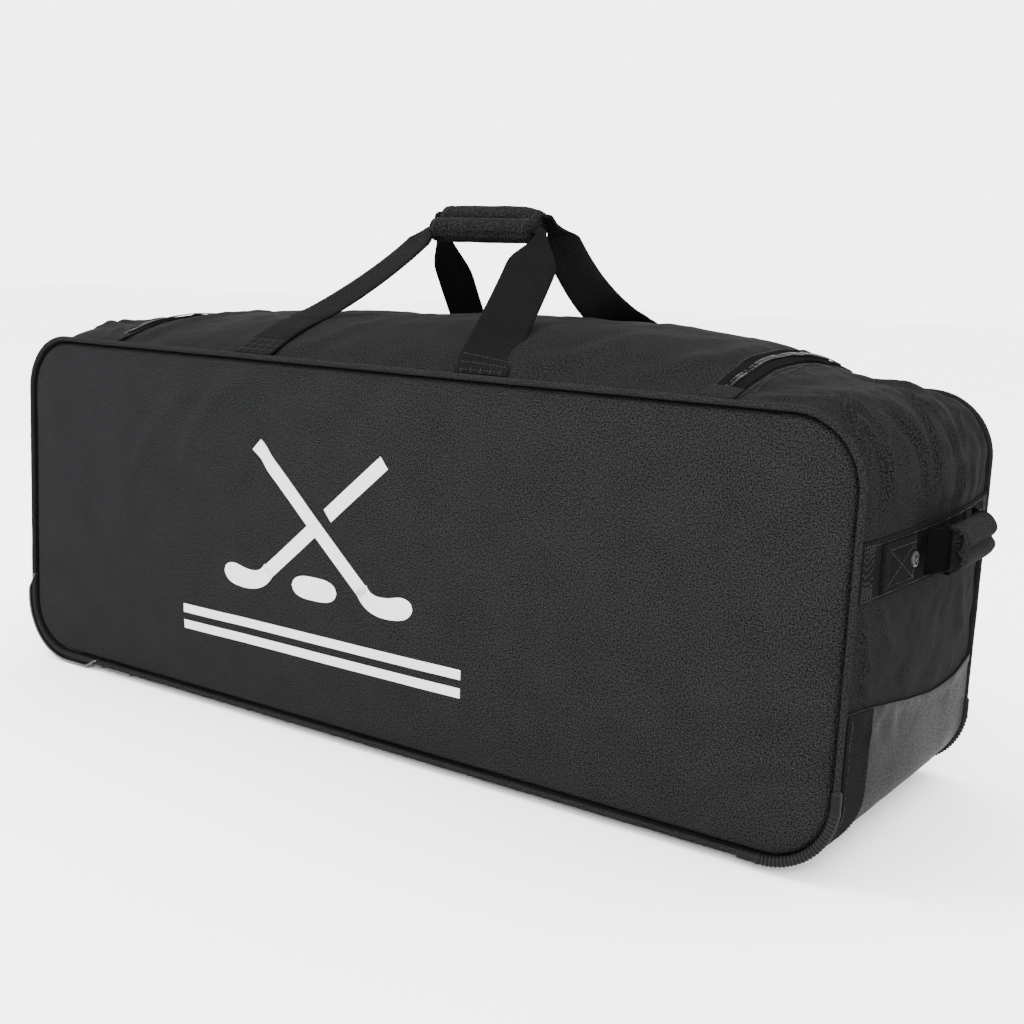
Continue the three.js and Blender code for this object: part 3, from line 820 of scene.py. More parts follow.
PULL_FOLDS = (
    Fold((0.452, -0.100), (0.508, -0.150), 0.0050, 0.0052),
    Fold((0.446, -0.078), (0.494, -0.108), 0.0050, 0.0048),
    Fold((0.456, 0.040), (0.556, -0.026), 0.0055, 0.0066),
    Fold((0.470, 0.052), (0.540, 0.012), 0.0090, -0.0050),
    Fold((0.484, 0.130), (0.522, 0.074), 0.0055, 0.0050),
    Fold((0.486, -0.084), (0.532, -0.124), 0.0060, 0.0046),
    Fold((0.505, -0.136), (0.536, -0.160), 0.0045, 0.0040),
    Fold((0.430, 0.030), (0.470, 0.120), 0.0060, 0.0040),
    Fold((0.530, 0.060), (0.575, 0.050), 0.0050, 0.0036),
    Fold((0.535, 0.085), (0.577, 0.080), 0.0050, -0.0036),
    Fold((0.545, -0.060), (0.580, -0.070), 0.0050, 0.0036),
    Fold((0.678, -0.152), (0.710, -0.120), 0.0050, 0.0040),
    Fold((0.402, -0.150), (0.470, -0.100), 0.009, 0.0040),
    Fold((0.430, -0.120), (0.560, -0.105), 0.010, 0.0024),
    Fold((0.470, -0.150), (0.585, -0.140), 0.007, -0.0035),
    Fold((0.480, -0.070), (0.585, -0.060), 0.010, -0.0045),
    Fold((0.440, -0.030), (0.585, -0.020), 0.013, 0.0022),
    Fold((0.490, 0.030), (0.585, 0.020), 0.010, -0.0038),
    Fold((0.420, 0.070), (0.580, 0.060), 0.013, 0.0024),
    Fold((0.480, 0.120), (0.585, 0.115), 0.010, -0.0032),
    Fold((0.400, 0.020), (0.460, 0.060), 0.012, 0.0030),
    Fold((0.635, -0.150), (0.690, -0.128), 0.006, 0.0040),
    Fold((0.655, -0.155), (0.712, -0.145), 0.005, -0.0040),
    Fold((0.632, -0.120), (0.680, -0.080), 0.010, 0.0026),
    Fold((0.640, 0.080), (0.700, 0.120), 0.012, 0.0026),
)
WHEEL_FOLDS = tuple(
    replace(fold, start=(-fold.start[0], 0.9 * fold.start[1]), end=(-fold.end[0], 0.9 * fold.end[1]))
    for fold in PULL_FOLDS
)


def blurred(field: Array, cells: float) -> Array:
    """Gaussian blur of a grid of values.

    Args:
        field: Values, rows by columns.
        cells: Standard deviation in cells.

    Returns:
        The blurred values, in the same shape.
    """
    reach = int(3 * cells)
    kernel = np.exp(-0.5 * (np.arange(-reach, reach + 1) / cells) ** 2)
    kernel /= kernel.sum()
    for axis in (0, 1):
        padded = np.pad(field, [(reach, reach) if a == axis else (0, 0) for a in (0, 1)], mode="edge")
        field = np.apply_along_axis(np.convolve, axis, padded, kernel, mode="valid")
    return field


@dataclass
class ClothPanel:
    """A cut panel with more width than its seams leave it, settled by cloth simulation."""

    form: BagForm
    s_range: tuple[float, float]
    y_range: tuple[float, float]
    fullness: tuple[float, float]
    cell: float = 0.0052
    pressure: float = 2.5
    frames: int = 26
    bending: float = 0.35
    held_s: Optional[tuple[float, float]] = None
    keep: float = 1.35
    smooth: float = 0.030
    most: float = 0.0078

    def __post_init__(self) -> None:
        """Lays out the panel's grid and settles it."""
        self.rows = int((self.s_range[1] - self.s_range[0]) / self.cell) + 1
        self.columns = int((self.y_range[1] - self.y_range[0]) / self.cell) + 1
        self.field = np.zeros((self.rows, self.columns))
        self._settle()

    def _settle(self) -> None:
        """Runs the simulation and keeps the folds without the broad bulge."""
        s, y = np.meshgrid(
            np.linspace(*self.s_range, self.rows), np.linspace(*self.y_range, self.columns), indexing="ij"
        )
        ripple = 0.0012 * smooth_noise(s, y, 0.022, 61) + 0.0006 * smooth_noise(s, y, 0.009, 62)
        start = self.form.skin(s, y, ripple)
        flat = np.stack([s * (1 + self.fullness[0]), y * (1 + self.fullness[1]), s * 0], -1)
        mesh = bpy.data.meshes.new("settling_panel")
        faces = grid_faces(self.rows, self.columns, 0)
        out = self.form.skin(s, y, MM) - self.form.skin(s, y)
        a, b, c = (start.reshape(-1, 3)[faces[0][k]] for k in range(3))
        if float(np.cross(b - a, c - a) @ out.reshape(-1, 3)[faces[0][0]]) < 0:
            faces = [f[::-1] for f in faces]
        mesh.from_pydata(start.reshape(-1, 3).tolist(), [], faces)
        panel = bpy.data.objects.new("settling_panel", mesh)
        bpy.context.scene.collection.objects.link(panel)
        panel.shape_key_add(name="sewn")
        rest = panel.shape_key_add(name="flat")
        rest.data.foreach_set("co", flat.reshape(-1).astype(np.float32))
        edge = np.zeros(s.shape, bool)
        edge[[0, -1], :] = True
        edge[:, [0, -1]] = True
        if self.held_s:
            edge |= (s > self.held_s[0]) & (s < self.held_s[1])
        pins = panel.vertex_groups.new(name="sewn")
        pins.add(np.flatnonzero(edge.ravel()).tolist(), 1.0, "REPLACE")
        cloth = panel.modifiers.new("cloth", "CLOTH")
        how = cloth.settings
        how.quality, how.mass, how.air_damping = 6, 0.25, 2.0
        how.tension_stiffness = how.compression_stiffness = 25.0
        how.shear_stiffness, how.bending_stiffness = 8.0, self.bending
        how.use_pressure, how.uniform_pressure_force = True, self.pressure
        how.vertex_group_mass = "sewn"
        how.rest_shape_key = rest
        how.effector_weights.gravity = 0.0
        cloth.collision_settings.use_collision = False
        cloth.point_cache.frame_start, cloth.point_cache.frame_end = 1, self.frames
        for frame_number in range(1, self.frames + 1):
            bpy.context.scene.frame_set(frame_number)
        settled = panel.evaluated_get(bpy.context.evaluated_depsgraph_get()).to_mesh()
        co = np.empty(len(settled.vertices) * 3, np.float32)
        settled.vertices.foreach_get("co", co)
        moved = co.reshape(start.shape) - self.form.skin(s, y)
        bpy.data.objects.remove(panel)
        bpy.data.meshes.remove(mesh)
        bpy.context.scene.frame_set(1)
        out /= np.linalg.norm(out, axis=-1, keepdims=True)
        height = (moved * out).sum(-1)
        height = height - blurred(height, self.smooth / self.cell)
        LOG.info("settled a panel: folds from %.1f to %.1f mm", 1000 * height.min(), 1000 * height.max())
        self.field = self.most * np.tanh(self.keep * height / self.most)

    def lift(self, s: Array, y: Array, mirror: bool = False) -> Array:
        """Height of the settled folds, and none outside the panel.

        Args:
            s: Arc lengths.
            y: Depths.
            mirror: Whether the panel lies on the other end and is turned round.

        Returns:
            Heights in metres.
        """
        turn = -1 if mirror else 1
        s, y = np.broadcast_arrays(turn * np.asarray(s), turn * np.asarray(y))
        a = (s - self.s_range[0]) / (self.s_range[1] - self.s_range[0]) * (self.rows - 1)
        b = (y - self.y_range[0]) / (self.y_range[1] - self.y_range[0]) * (self.columns - 1)
        inside = (a > 0) & (a < self.rows - 1) & (b > 0) & (b < self.columns - 1)
        a, b = np.clip(a, 0, self.rows - 1.001), np.clip(b, 0, self.columns - 1.001)
        i, j = a.astype(int), b.astype(int)
        f, g = a - i, b - j
        grid = self.field
        low = grid[i, j] * (1 - f) + grid[i + 1, j] * f
        high = grid[i, j + 1] * (1 - f) + grid[i + 1, j + 1] * f
        return np.where(inside, low * (1 - g) + high * g, 0.0)


@dataclass
class Creases:
    """Creases and unevenness of the gusset's cloth."""

    form: BagForm
    band_s: float
    end_panel: ClothPanel
    lid_panel: ClothPanel
    band_half: float = 0.033
    drawn: float = 0.75

    def lift(self, s: Array, y: Array) -> Array:
        """Height of the creased cloth above the smooth skin.

        Args:
            s: Arc lengths.
            y: Depths.

        Returns:
            Heights in metres; none at the seams, and little under the band.
        """
        h = 0.0022 * smooth_noise(s, y, 0.085, 3) + 0.0012 * smooth_noise(s, y, 0.036, 5)
        h = h + 0.0004 * smooth_noise(s, y, 0.014, 8)
        for crease in TOP_FOLDS + PULL_FOLDS + WHEEL_FOLDS:
            h = h + self.drawn * crease.lift(s, y)
        h = h + self.end_panel.lift(s, y) + self.end_panel.lift(s, y, mirror=True) + self.lid_panel.lift(s, y)
        near = self.form.half_y - np.abs(y)
        pucker = 0.0007 * np.sin(s / 0.0063 + 2.5 * smooth_noise(s, y, 0.05, 11)) * np.exp(-near / 0.012)
        seam = ease(near / 0.022)
        band = 1 - 0.96 * np.exp(-(((np.abs(s) - self.band_s) / self.band_half) ** 4))
        low = 1 - 0.75 * ease((np.abs(s) - self.form.s_at(0.13)) / 0.03)
        return (h * seam + pucker * ease(near / 0.004)) * band * low


# ---- Sewn body --------------------------------------------------------------------------------

# Height of the tarpaulin's upper edge across the end, as a smooth curve through six places.
TARP_TOP = np.polyfit(
    (-0.165, -0.110, -0.040, 0.030, 0.090, 0.165), (0.147, 0.1435, 0.133, 0.124, 0.123, 0.132), 3
)


@dataclass
class SewnBody:
    """The gusset round the bag: end panels, rear top, tarpaulin, bottom and lid."""

    form: BagForm
    creases: Creases
    cloth: float = 0.0022
    tarp_thickness: float = 0.0016
    cloth_rise: float = 0.0022
    grid: float = 0.0052
    zip_s: float = 0.378
    lid_s: float = 0.374
    lid_y: tuple[float, float] = (-0.158, 0.104)
    rear_y: float = 0.108
    well: float = 0.0955
    well_top: float = 0.093

    def __post_init__(self) -> None:
        """Starts the one mesh that holds all the seams' stitches."""
        self.stitches = Beads("seam_stitching", THREAD)

    def tarp_top(self, y: Array) -> Array:
        """Arc length of the tarpaulin's upper edge, which dips and rises across the end."""
        return self.form.s_at(0.0) - np.polyval(TARP_TOP, y)

    def tarp_edge(self, side: int, overlap: float = 0.0) -> Callable:
        """The upper edge on one end, so far under the tarpaulin, as a function of depth."""

        def edge(y: Array) -> Array:
            """Signed arc length of the edge."""
            return side * (self.tarp_top(y) + overlap)

        return edge

    def surface(self, s: Array, y: Array, lift: float | Array = 0.0) -> Array:
        """Creased skin at a height."""
        return self.form.skin(s, y, self.creases.lift(s, y) + lift)

    def normals(self, s: Array, y: Array) -> Array:
        """Outward normals of the creased skin."""
        e = 0.0015
        a = self.surface(s + e, y) - self.surface(s - e, y)
        b = self.surface(s, y + e) - self.surface(s, y - e)
        n = np.cross(b, a)
        n /= np.linalg.norm(n, axis=-1, keepdims=True)
        out = self.surface(s, y, MM) - self.surface(s, y)
        return np.where((n * out).sum(-1, keepdims=True) < 0, -n, n)

    def patch(
        self,
        name: str,
        s_range: tuple[float | Callable, float | Callable],
        y_range: tuple[float, float],
        lift: float,
        thickness: float,
        finishes: Sequence[Finish],
        steps: Optional[tuple[float, float]] = None,
        relief: Optional[Callable] = None,
    ) -> bpy.types.Object:
        """A piece of cloth on the skin.

        Args:
            name: The piece's name.
            s_range: Arc lengths of its two ends; each may be a function of depth.
            y_range: Depths of its two sides.
            lift: Height of its outer face.
            thickness: Its thickness.
            finishes: Outer and inner finish.
            steps: Size of a grid cell along and across, where it isn't the usual.
            relief: Extra height as a function of the two cloth coordinates.

        Returns:
            The object.
        """
        steps = steps or (self.grid, self.grid)
        mean = [f(np.array(0.0)) if callable(f) else f for f in s_range]
        length, depth = abs(mean[1] - mean[0]), y_range[1] - y_range[0]
        v = (y_range[0] + y_range[1]) / 2 + graded(depth / 2, min(0.0012, steps[1]), steps[1])
        ends = [f(v) if callable(f) else np.full_like(v, f) for f in s_range]
        t = (graded(length / 2, min(0.0012, steps[0]), steps[0]) / length + 0.5)[:, None]
        s = ends[0][None, :] * (1 - t) + ends[1][None, :] * t
        y = np.broadcast_to(v, s.shape)
        extra = relief(s, y) if relief else 0.0
        to_side = np.minimum(y - y_range[0], y_range[1] - y)
        edge = np.minimum(to_side, np.minimum(abs(s - s[:1]), abs(s[-1:] - s)))
        tuck = -0.45 * thickness * np.exp(-edge / 0.0011)
        outer = self.surface(s, y, lift + extra + tuck)
        inner = self.surface(s, y, lift - thickness)
        piece = shell(name, outer, inner, np.stack([s, y], -1), finishes)
        return piece

    def seam(self, s: Array, y: Array, lift: float, pitch: float = 0.0036) -> None:
        """Adds a row of stitches on the skin.

        Args:
            s: Arc lengths along the row.
            y: Depths along the row.
            lift: Height of the cloth that the stitches lie on.
            pitch: Stitch spacing.
        """
        s, y = np.broadcast_arrays(np.asarray(s, float), np.asarray(y, float))
        self.stitches.run(self.surface(s, y, lift), self.normals(s, y), pitch, sink=0.0)

    def build_ends(self) -> None:
        """Builds the two end panels and their tarpaulin."""
        half, cloth = self.form.half_y, (GUSSET, LINING)
        for name, side in (("pull", 1), ("wheel", -1)):
            ends = (side * self.zip_s, self.tarp_edge(side, 0.006))
            steps = (0.0032, 0.0032) if side > 0 else None
            panel = self.patch(f"{name}_end_cloth", ends, (-half, half), 0.0, self.cloth, cloth, steps=steps)
            self.give(panel, "bag", "polyester", f"{name}_end_panel")
            y = np.linspace(-half + 0.004, half - 0.004, 160)
            self.seam(side * (self.tarp_top(y) + 0.0035), y, 0.0026)
            self.seam(np.full(60, side * (self.zip_s + 0.0175)), np.linspace(-half + 0.01, 0.118, 60), 0.0004)
        tarp = self.patch(
            "pull_end_tarpaulin_cloth", (self.tarp_top, self.form.s_arc2 + 0.012), (-half, half),
            self.cloth_rise, self.tarp_thickness, (TARPAULIN, LINING), relief=self._hem,
        )
        self.give(tarp, "bag", "tarpaulin", "pull_end_tarpaulin")
        low, over_well = -self.form.s_arc2 - 0.004, -self.form.s_at(self.well_top)
        for part, foot, depths in (
            ("middle", low, (-self.well, self.well)),
            ("front", over_well, (-half, -self.well)),
            ("rear", over_well, (self.well, half)),
        ):
            piece = self.patch(
                f"wheel_end_tarpaulin_{part}", (self.tarp_edge(-1), foot), depths, self.cloth_rise,
                self.tarp_thickness, (TARPAULIN, LINING), relief=self._hem,
            )
            self.give(piece, "bag", "tarpaulin", "wheel_end_tarpaulin")

    def _hem(self, s: Array, y: Array) -> Array:
        """Folded hem along the tarpaulin's upper edge."""
        past = np.abs(s) - self.tarp_top(y)
        return 0.0009 * (1 - ease((past - 0.007) / 0.0022))

    def build_bottom(self) -> None:
        """Builds the tarpaulin under the bag, cut away at the wheel wells."""
        half, end, cell = self.form.half_y, self.form.s_end, 0.012
        first = self.form.s_arc2 + 0.0125
        cut = end + 0.419
        last = end + self.form.half_l - self.form.foot_radius
        for name, (s0, s1), depths in (
            ("pull", (first, cut), (-half, half)),
            ("wheel", (cut, last), (-self.well, self.well)),
        ):
            rows, columns = int((s1 - s0) / cell), int((depths[1] - depths[0]) / cell)
            s, y = np.meshgrid(np.linspace(s0, s1, rows), np.linspace(*depths, columns), indexing="ij")
            x = self.form.middle_x + self.form.half_l - self.form.foot_radius - (s - self.form.s_arc2)
            z = self.form.z_bot + 0.0004 * smooth_noise(s, y, 0.05, 21)
            outer = np.stack([x, y, z], -1)
            inner = outer + np.array([0, 0, self.tarp_thickness])
            piece = shell(f"bottom_cloth_{name}", outer, inner, np.stack([s, y], -1), (TARPAULIN, LINING))
            self.give(piece, "bag", "tarpaulin", "bottom_panel")

    def build_top(self) -> None:
        """Builds the rear top strip and the lid, which is baked in place and not put on a hinged body."""
        half, cloth = self.form.half_y, (GUSSET, LINING)
        wide = self.zip_s - 0.0002
        rear = self.patch("rear_top_cloth", (-wide, wide), (self.rear_y, half), 0.0, self.cloth, cloth)
        self.give(rear, "bag", "polyester", "rear_top_panel")
        ends, depths = (-self.lid_s, self.lid_s), (-half, self.lid_y[1])
        lid = self.patch("lid_cloth", ends, depths, 0.0, self.cloth, cloth)
        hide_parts("lid_panel", "front_top_strip")
        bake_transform(lid)

    def give(self, piece: bpy.types.Object, body: str, slot: str, *nodes: str) -> None:
        """Puts a piece on a body, and hides the solids that it stands for."""
        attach(piece, body)
        if nodes:
            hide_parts(*nodes)


# Section of the seam allowance that turns in behind the piping: outwards and deep, round once.
FLANGE_Y = 0.1626
FLANGE_SECTION = (
    (-0.0105, -0.0006), (0.0008, -0.0006), (0.0016, 0.0030), (0.0016, 0.0056), (-0.0022, 0.0056),
    (-0.0034, 0.0012), (-0.0105, 0.0008),
)


@dataclass
class FacePanel:
    """The flat front or rear wall, padded out a little, with its piping."""

    form: BagForm
    side: int
    face: float = 0.1692
    swell: float = 0.0075
    inset: float = 0.0036
    groove: float = 0.0045
    thickness: float = 0.0026
    cord: float = 0.0029
    seed: int = 40

    def folds(self) -> tuple[Fold, ...]:
        """Creases of this wall, in x and z."""
        x = self.form.middle_x
        if self.side > 0:
            return (
                Fold((x - 0.15, 0.375), (x - 0.26, 0.25), 0.016, 0.0025),
                Fold((x + 0.15, 0.375), (x + 0.25, 0.22), 0.016, 0.0025),
                Fold((x + 0.45, 0.08), (x + 0.33, 0.16), 0.018, 0.0022),
            )
        return (
            Fold((x - 0.150, 0.372), (x - 0.245, 0.255), 0.013, 0.0036),
            Fold((x - 0.128, 0.372), (x - 0.150, 0.240), 0.012, -0.0028),
            Fold((x + 0.138, 0.372), (x + 0.215, 0.240), 0.014, 0.0032),
            Fold((x - 0.470, 0.300), (x - 0.380, 0.180), 0.018, 0.0028),
            Fold((x - 0.490, 0.110), (x - 0.410, 0.060), 0.014, -0.0020),
            Fold((x + 0.480, 0.100), (x + 0.380, 0.050), 0.012, 0.0034),
            Fold((x + 0.490, 0.330), (x + 0.410, 0.250), 0.014, 0.0028),
            Fold((x + 0.250, 0.040), (x + 0.050, 0.070), 0.020, -0.0016),
            Fold((x - 0.500, 0.360), (x - 0.486, 0.270), 0.006, 0.0022),
            Fold((x - 0.180, 0.368), (x - 0.330, 0.230), 0.011, 0.0022),
            Fold((x + 0.495, 0.150), (x + 0.430, 0.120), 0.010, 0.0024),
            Fold((x + 0.490, 0.070), (x + 0.440, 0.060), 0.006, 0.0024),
        )

    def edge(self, x: Array, z: Array) -> Array:
        """Distance inwards from the wall's rounded border."""
        f = self.form
        mid = (f.z_top + f.z_bot) / 2
        r = np.where(z > mid, f.top_radius, f.foot_radius) - self.inset
        qx = np.abs(x - f.middle_x) - (f.half_l - self.inset - r)
        qz = np.abs(z - mid) - ((f.z_top - f.z_bot) / 2 - self.inset - r)
        outside = np.hypot(np.maximum(qx, 0), np.maximum(qz, 0)) + np.minimum(np.maximum(qx, qz), 0)
        return np.maximum(r - outside, 0)

    def height(self, x: Array, z: Array) -> Array:
        """How far the wall stands out from the seam plane, in metres."""
        edge = self.edge(x, z)
        h = self.swell * (1 - (1 - np.clip(edge / 0.17, 0, 1)) ** 3)
        h = h + 0.0016 * smooth_noise(x, z, 0.16, self.seed)
        h = h + 0.0007 * smooth_noise(x, z, 0.055, self.seed + 1)
        for crease in self.folds():
            h = h + crease.lift(x, z)
        pucker = 0.0006 * np.sin((x + z) / 0.0058 + 2 * smooth_noise(x, z, 0.05, 5)) * np.exp(-edge / 0.010)
        return (h + pucker) * ease(edge / 0.014 + 0.02) - self.groove * np.exp(-((edge / 0.0019) ** 1.6))

    def point(self, x: Array, z: Array, lift: float = 0.0) -> Array:
        """Points of the wall's outer face."""
        y = self.side * (self.face + self.height(x, z) + lift)
        return np.stack([x, y, z], -1)

    def build(self) -> None:
        """Builds the wall."""
        f = self.form
        mid, half = (f.z_top + f.z_bot) / 2, (f.z_top - f.z_bot) / 2 - self.inset
        z = mid + graded(half, 0.0007, 0.0042)
        low_c, high_c = f.z_bot + f.foot_radius, f.z_top - f.top_radius
        reach = np.full_like(z, f.half_l - self.inset)
        for centre, radius, part in ((low_c, f.foot_radius, z < low_c), (high_c, f.top_radius, z > high_c)):
            r = radius - self.inset
            bow = r - np.sqrt(np.clip(r * r - (z - centre) ** 2, 0, None))
            reach = np.where(part, reach - bow, reach)
        t = graded(f.half_l - self.inset, 0.0007, 0.0050) / (f.half_l - self.inset)
        x = f.middle_x + reach[:, None] * t[None, :]
        zz = np.broadcast_to(z[:, None], x.shape)
        outer = self.point(x, zz)
        inner = self.point(x, zz, -self.thickness)
        name = "front" if self.side < 0 else "rear"
        panel = shell(f"{name}_wall_cloth", outer, inner, np.stack([x, zz], -1), (POLYESTER, LINING))
        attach(panel, "bag")
        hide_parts(f"{name}_panel")
        self._piping(name)

    def _piping(self, name: str) -> None:
        """Builds the covered cord round the wall, with its flange into the seam."""
        f = self.form
        s = np.linspace(-f.s_end, f.s_end, 620, endpoint=False)
        p, n = f.outline(s)
        wobble = 1 + 0.05 * smooth_noise(s, s * 0, 0.03, 9) + 0.03 * smooth_noise(s, s * 0, 0.008, 10)
        turn = np.linspace(0, 2 * math.pi, 14, endpoint=False)
        r = self.cord * wobble[:, None]
        out, deep = 0.94 * f.pipe_radius - self.cord + r * np.cos(turn), r * np.sin(turn)
        rings = np.stack(
            [p[:, :1] + n[:, :1] * out, self.side * f.seam_y + deep, p[:, 1:] + n[:, 1:] * out], -1
        )
        corners = []
        for out, deep in FLANGE_SECTION:
            depth = np.full(len(s), self.side * (FLANGE_Y + deep))
            corners.append(np.stack([p[:, 0] + n[:, 0] * out, depth, p[:, 1] + n[:, 1] * out], -1))
        flange = np.stack(corners, axis=1)
        tape = loft(f"{name}_seam_flange", flange, [ZIP_TAPE], along=s, closed=True)
        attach(tape, "bag")
        cord = loft(f"{name}_piping_cord", rings, [POLYESTER], along=s, closed=True)
        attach(cord, "bag")
        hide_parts(f"{name}_piping")


def section(width: float, thickness: float, pitch_count: int) -> Array:
    """Cross-section of webbing: flat faces with rounded selvedges.

    Args:
        width: Half width.
        thickness: Half thickness.
        pitch_count: Points across each face.

    Returns:
        Pairs of across and up, going round once.
    """
    across = np.linspace(-1, 1, pitch_count) * (width - thickness * 0.6)
    top = np.stack([across, np.full_like(across, thickness)], -1)
    inset, rise = width - thickness * 0.15, thickness * 0.55
    side = np.array([[inset, rise], [width, 0.0], [inset, -rise]])
    return np.concatenate([top, side, -top, -side])


@dataclass
class Webbing:
    """A length of ribbed webbing along a path."""

    name: str
    rib: float = 0.0036
    rib_height: float = 0.00065
    across: int = 9
    finish: Finish = WEBBING

    def make(
        self, path: Array, wide: Array, up: Array, half_width: Array, half_thickness: Array
    ) -> bpy.types.Object:
        """Builds the webbing.

        Args:
            path: Centre points.
            wide: Unit directions across the webbing.
            up: Unit directions out of its face.
            half_width: Half width at each point.
            half_thickness: Half thickness at each point.

        Returns:
            The object.
        """
        d = lengths(path)
        count = max(8, int(d[-1] / self.rib * 5))
        t = np.linspace(0, d[-1], count)
        path, wide, up = (
            np.stack([np.interp(t, d, rows[:, axis]) for axis in range(3)], 1) for rows in (path, wide, up)
        )
        wide /= np.linalg.norm(wide, axis=1, keepdims=True)
        up /= np.linalg.norm(up, axis=1, keepdims=True)
        width, thick = np.interp(t, d, half_width), np.interp(t, d, half_thickness)
        crest = np.abs(np.sin(np.pi * t / self.rib)) ** 0.7
        rings = []
        for i in range(count):
            shape = section(width[i], thick[i] - self.rib_height * (1 - crest[i]), self.across)
            rings.append(path[i] + shape[:, :1] * wide[i] + shape[:, 1:] * up[i])
        return loft(self.name, np.stack(rings), [self.finish], along=t)


# ---- Handles ----------------------------------------------------------------------------------


def bezier(points: Sequence[Array], count: int) -> Array:
    """Cubic curve through four control points."""
    t = np.linspace(0, 1, count)[:, None]
    a, b, c, d = points
    return a * (1 - t) ** 3 + 3 * b * t * (1 - t) ** 2 + 3 * c * t * t * (1 - t) + d * t**3


def carried(path: Array, width: Array) -> tuple[Array, Array]:
    """Directions across and out of a ribbon carried along a path with the least turning.

    Args:
        path: Centre points.
        width: Direction across the ribbon at its start.

    Returns:
        Directions across, and out of the face.
    """
    ahead = tangents(path)
    wide, out = [], []
    w = np.asarray(width, float)
    for t in ahead:
        w = w - t * float(w @ t)
        w = w / np.linalg.norm(w)
        wide.append(w)
        out.append(np.cross(t, w))
    return np.array(wide), np.array(out)


@dataclass(frozen=True)
class Leg:
    """How one leg of a carry loop lies on the bag and rises to the grip, in metres.

    It lies flat from its foot to `depth`, drifting by `slant` along the bag, leaves the cloth over a length
    `leave`, and comes into the grip from `spread` outwards and `drop` below. It widens from half its folded
    width over `span`, from `start` on. `bias` is 1 where the foot is cut along the seam, aslant to the
    webbing.
    """

    foot: float
    depth: float
    leave: float
    spread: float
    drop: float
    folded: float
    start: float
    span: float
    slant: float = 0.0
    bias: float = 0.0


LEGS = {
    "front": (
        Leg(-0.1500, 0.0897, 0.0571, 0.0020, 0.0600, 0.0055, -0.0054, 0.0300),
        Leg(0.1390, 0.1600, 0.0060, 0.0200, 0.0040, 0.0055, 0.0020, 0.0560, -0.0030, 1.0),
    ),
    "rear": (
        Leg(-0.0960, 0.1550, 0.0088, 0.0088, -0.0100, 0.0073, 0.0145, 0.0650),
        Leg(0.1520, 0.0800, 0.0900, 0.0020, 0.0600, 0.0055, 0.0044, 0.0300),
    ),
}


